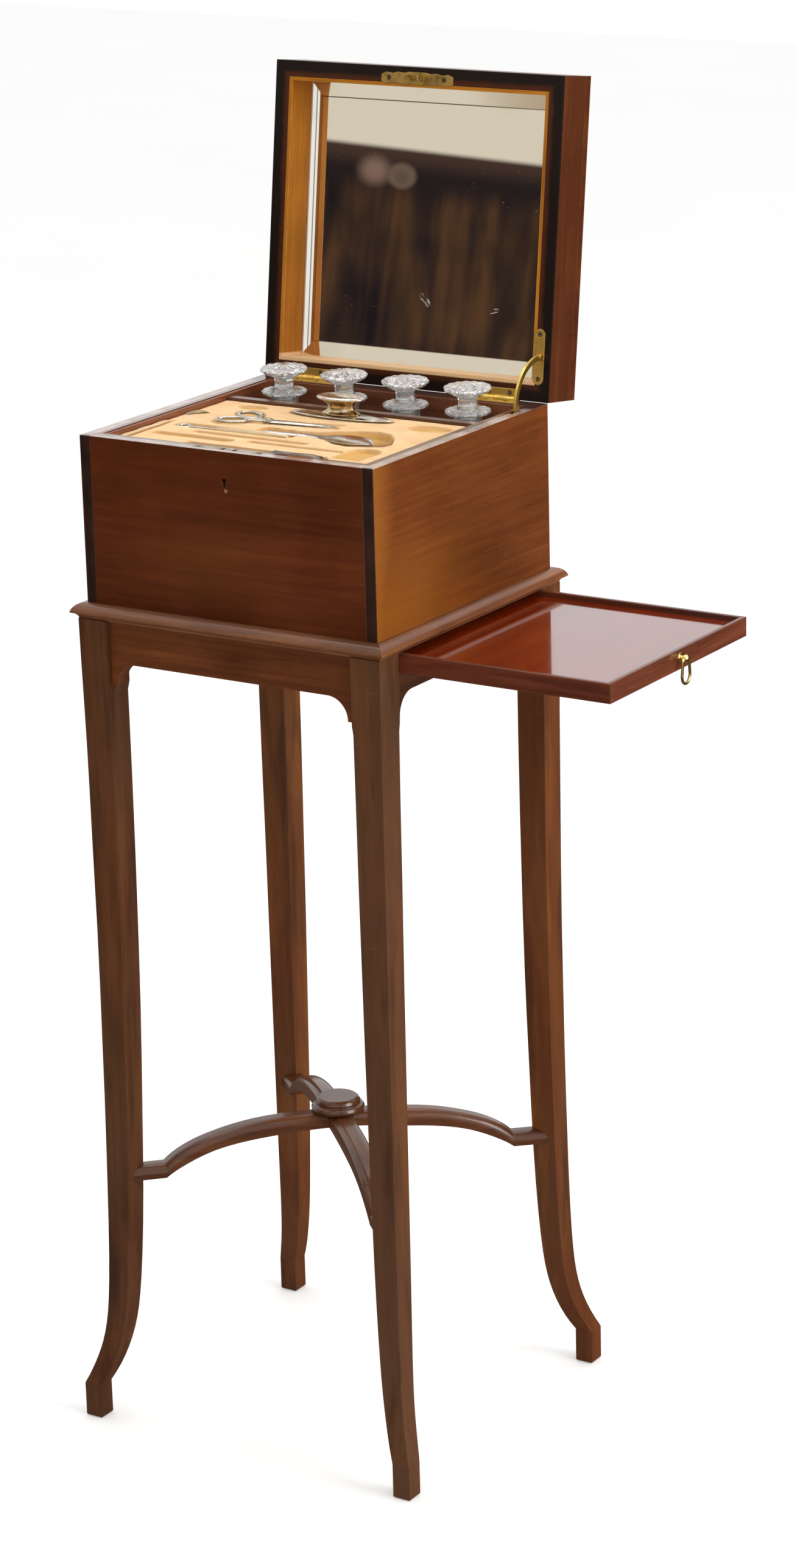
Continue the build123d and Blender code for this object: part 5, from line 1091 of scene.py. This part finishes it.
fm = Mat("pale_floor")
n = fm.noise(fm.mapped(fm.obj(), scale=(2, 2, 2)), 1.0, 3.0, 0.5)
fm.set(color=fm.mix(n, (0.86, 0.86, 0.86), (0.90, 0.90, 0.895)), rough=0.75, spec=0.2)
fm.b.inputs["Emission Color"].default_value = (1.0, 1.0, 1.0, 1.0)
fm.b.inputs["Emission Strength"].default_value = 0.14
plane("floor", [(-14, -14, -0.0002), (14, -14, -0.0002), (14, 14, -0.0002), (-14, 14, -0.0002)], fm.m)


def emitter(name):
    """A material that only glows; returns (helper, emission node)."""
    m = bpy.data.materials.new(name)
    m.use_nodes = True
    t = m.node_tree
    t.nodes.clear()
    h = Mat.__new__(Mat)
    h.m, h.t = m, t
    out = t.nodes.new("ShaderNodeOutputMaterial")
    em = t.nodes.new("ShaderNodeEmission")
    t.links.new(em.outputs[0], out.inputs[0])
    tc = t.nodes.new("ShaderNodeTexCoord")
    return h, em, tc.outputs["Object"]


def card_mat():
    """The room in front of the object: pale wall above, dark furniture below."""
    h, em, p = emitter("room_card")
    x, y, z = h.sep(p)                                   # x across the card, z up
    strk = h.noise(h.mapped(p, scale=(21, 1, 3.0)), 1.0, 3.0, 0.55, 0.3)
    soft = h.noise(h.mapped(p, scale=(8, 1, 8)), 1.0, 2.0, 0.5)
    dark = h.ramp(h.rng(h.math("ADD", h.math("MULTIPLY", strk, 0.65), h.math("MULTIPLY", soft, 0.35)), 0.38, 0.62),
                  [(0.0, (0.014, 0.010, 0.012)), (0.45, (0.040, 0.022, 0.015)), (1.0, (0.092, 0.044, 0.020))])
    zz = h.math("ADD", z, h.math("MULTIPLY", x, CARD_SLOPE))
    col = h.mix(h.rng(zz, CARD_EDGE - 0.085, CARD_EDGE - 0.040, 0.0, 1.0, smooth=True), dark, (0.020, 0.014, 0.014))
    col = h.mix(h.rng(zz, CARD_EDGE - 0.040, CARD_EDGE - 0.004, 0.0, 1.0, smooth=True), col, (0.060, 0.034, 0.025))
    for bx, bz, r0, r1, c in ((-0.118, -0.036, 0.006, 0.030, (0.24, 0.15, 0.11)), (-0.078, -0.040, 0.014, 0.023, (0.155, 0.105, 0.075)), (-0.078, -0.043, 0.004, 0.013, (0.105, 0.072, 0.055))):
        q = h.new("ShaderNodeVectorMath", operation="DISTANCE")
        h.put(q.inputs[0], h.mapped(p, scale=(0.9, 0, 1)))
        q.inputs[1].default_value = (0.9 * bx, 0, CARD_EDGE + bz)
        col = h.mix(h.math("MULTIPLY", h.rng(q.outputs["Value"], r0, r1, 1.0, 0.0, smooth=True), 0.85), col, c)
    col = h.mix(h.rng(zz, CARD_EDGE - 0.006, CARD_EDGE + 0.004, 0.0, 1.0, smooth=True), col, (0.70, 0.63, 0.50))
    col = h.mix(h.math("MULTIPLY", h.math("GREATER_THAN", x, 0.95), h.math("GREATER_THAN", z, 0.80)), col, (0.90, 0.87, 0.80))
    h.t.links.new(col, em.inputs[0])
    em.inputs[1].default_value = 1.0
    return h.m


def glow_mat(name, a, b, scale):
    h, em, p = emitter(name)
    h.t.links.new(h.ramp(h.rng(h.noise(h.mapped(p, scale=(scale,) * 3), 1.0, 2.0, 0.5), 0.35, 0.65), [(0.0, a), (1.0, b)]), em.inputs[0])
    em.inputs[1].default_value = 1.0
    return h.m


def upright(name, direction, dist, width, z0, z1, mat):
    d = Vector((*direction, 0)).normalized()
    sd = Vector((-d.y, d.x, 0))
    ob = plane(name, [(-width, 0, z0), (width, 0, z0), (width, 0, z1), (-width, 0, z1)], mat)
    o = MIRC + d * dist
    ob.matrix_world = Matrix(((sd.x, d.x, 0, o.x), (sd.y, d.y, 0, o.y), (0, 0, 1, 0), (0, 0, 0, 1)))
    ob.visible_camera = False
    return ob


def only_reflected(ob):
    ob.visible_camera = ob.visible_diffuse = ob.visible_transmission = ob.visible_volume_scatter = ob.visible_shadow = False


CARD_D = 2.3
CARD_EDGE = 1.31
CARD_SLOPE = 0.006
MIRC = Vector(row((0, 166.0, 1083.0)))
upright("room_card", (-0.518, -0.8515), CARD_D, 1.9, 0.0, 2.4, card_mat())
# Seen only in the polish: the room's furniture on the right, and a dark floor.
only_reflected(upright("room_right", (0.543, 0.840), 2.6, 2.2, 0.0, 2.1, glow_mat("room_right_glow", (0.050, 0.034, 0.024), (0.110, 0.075, 0.050), 1.5)))
only_reflected(plane("room_floor", [(-9, -9, 0.0006), (9, -9, 0.0006), (9, 9, 0.0006), (-9, 9, 0.0006)], glow_mat("room_floor_glow", (0.075, 0.058, 0.044), (0.125, 0.100, 0.080), 1.2)))

world = bpy.data.worlds.new("studio")
scene.world = world
world.use_nodes = True
bg = world.node_tree.nodes["Background"]
bg.inputs[0].default_value = (1.0, 1.0, 1.0, 1.0)
bg.inputs[1].default_value = 1.0


def area(name, loc, target, size, power, color=(1, 1, 1)):
    li = bpy.data.lights.new(name, "AREA")
    li.shape = "RECTANGLE"
    li.size, li.size_y = size
    li.energy = power
    li.color = color
    ob = bpy.data.objects.new(name, li)
    scene.collection.objects.link(ob)
    ob.location = loc
    d = Vector(target) - Vector(loc)
    ob.rotation_mode = "QUATERNION"
    ob.rotation_quaternion = d.to_track_quat("-Z", "Y")
    ob.visible_camera = False
    return ob


area("key_right", (3.0, 0.25, 1.9), (0, 0, 0.75), (1.6, 1.6), 62.0, (1.0, 0.965, 0.92))
area("top_soft", (-0.4, 0.3, 3.2), (0, 0, 0.9), (2.2, 2.2), 26.0)

scene.view_settings.view_transform = "Standard"
scene.view_settings.look = "None"
scene.view_settings.exposure = 0.0
scene.view_settings.gamma = 1.0
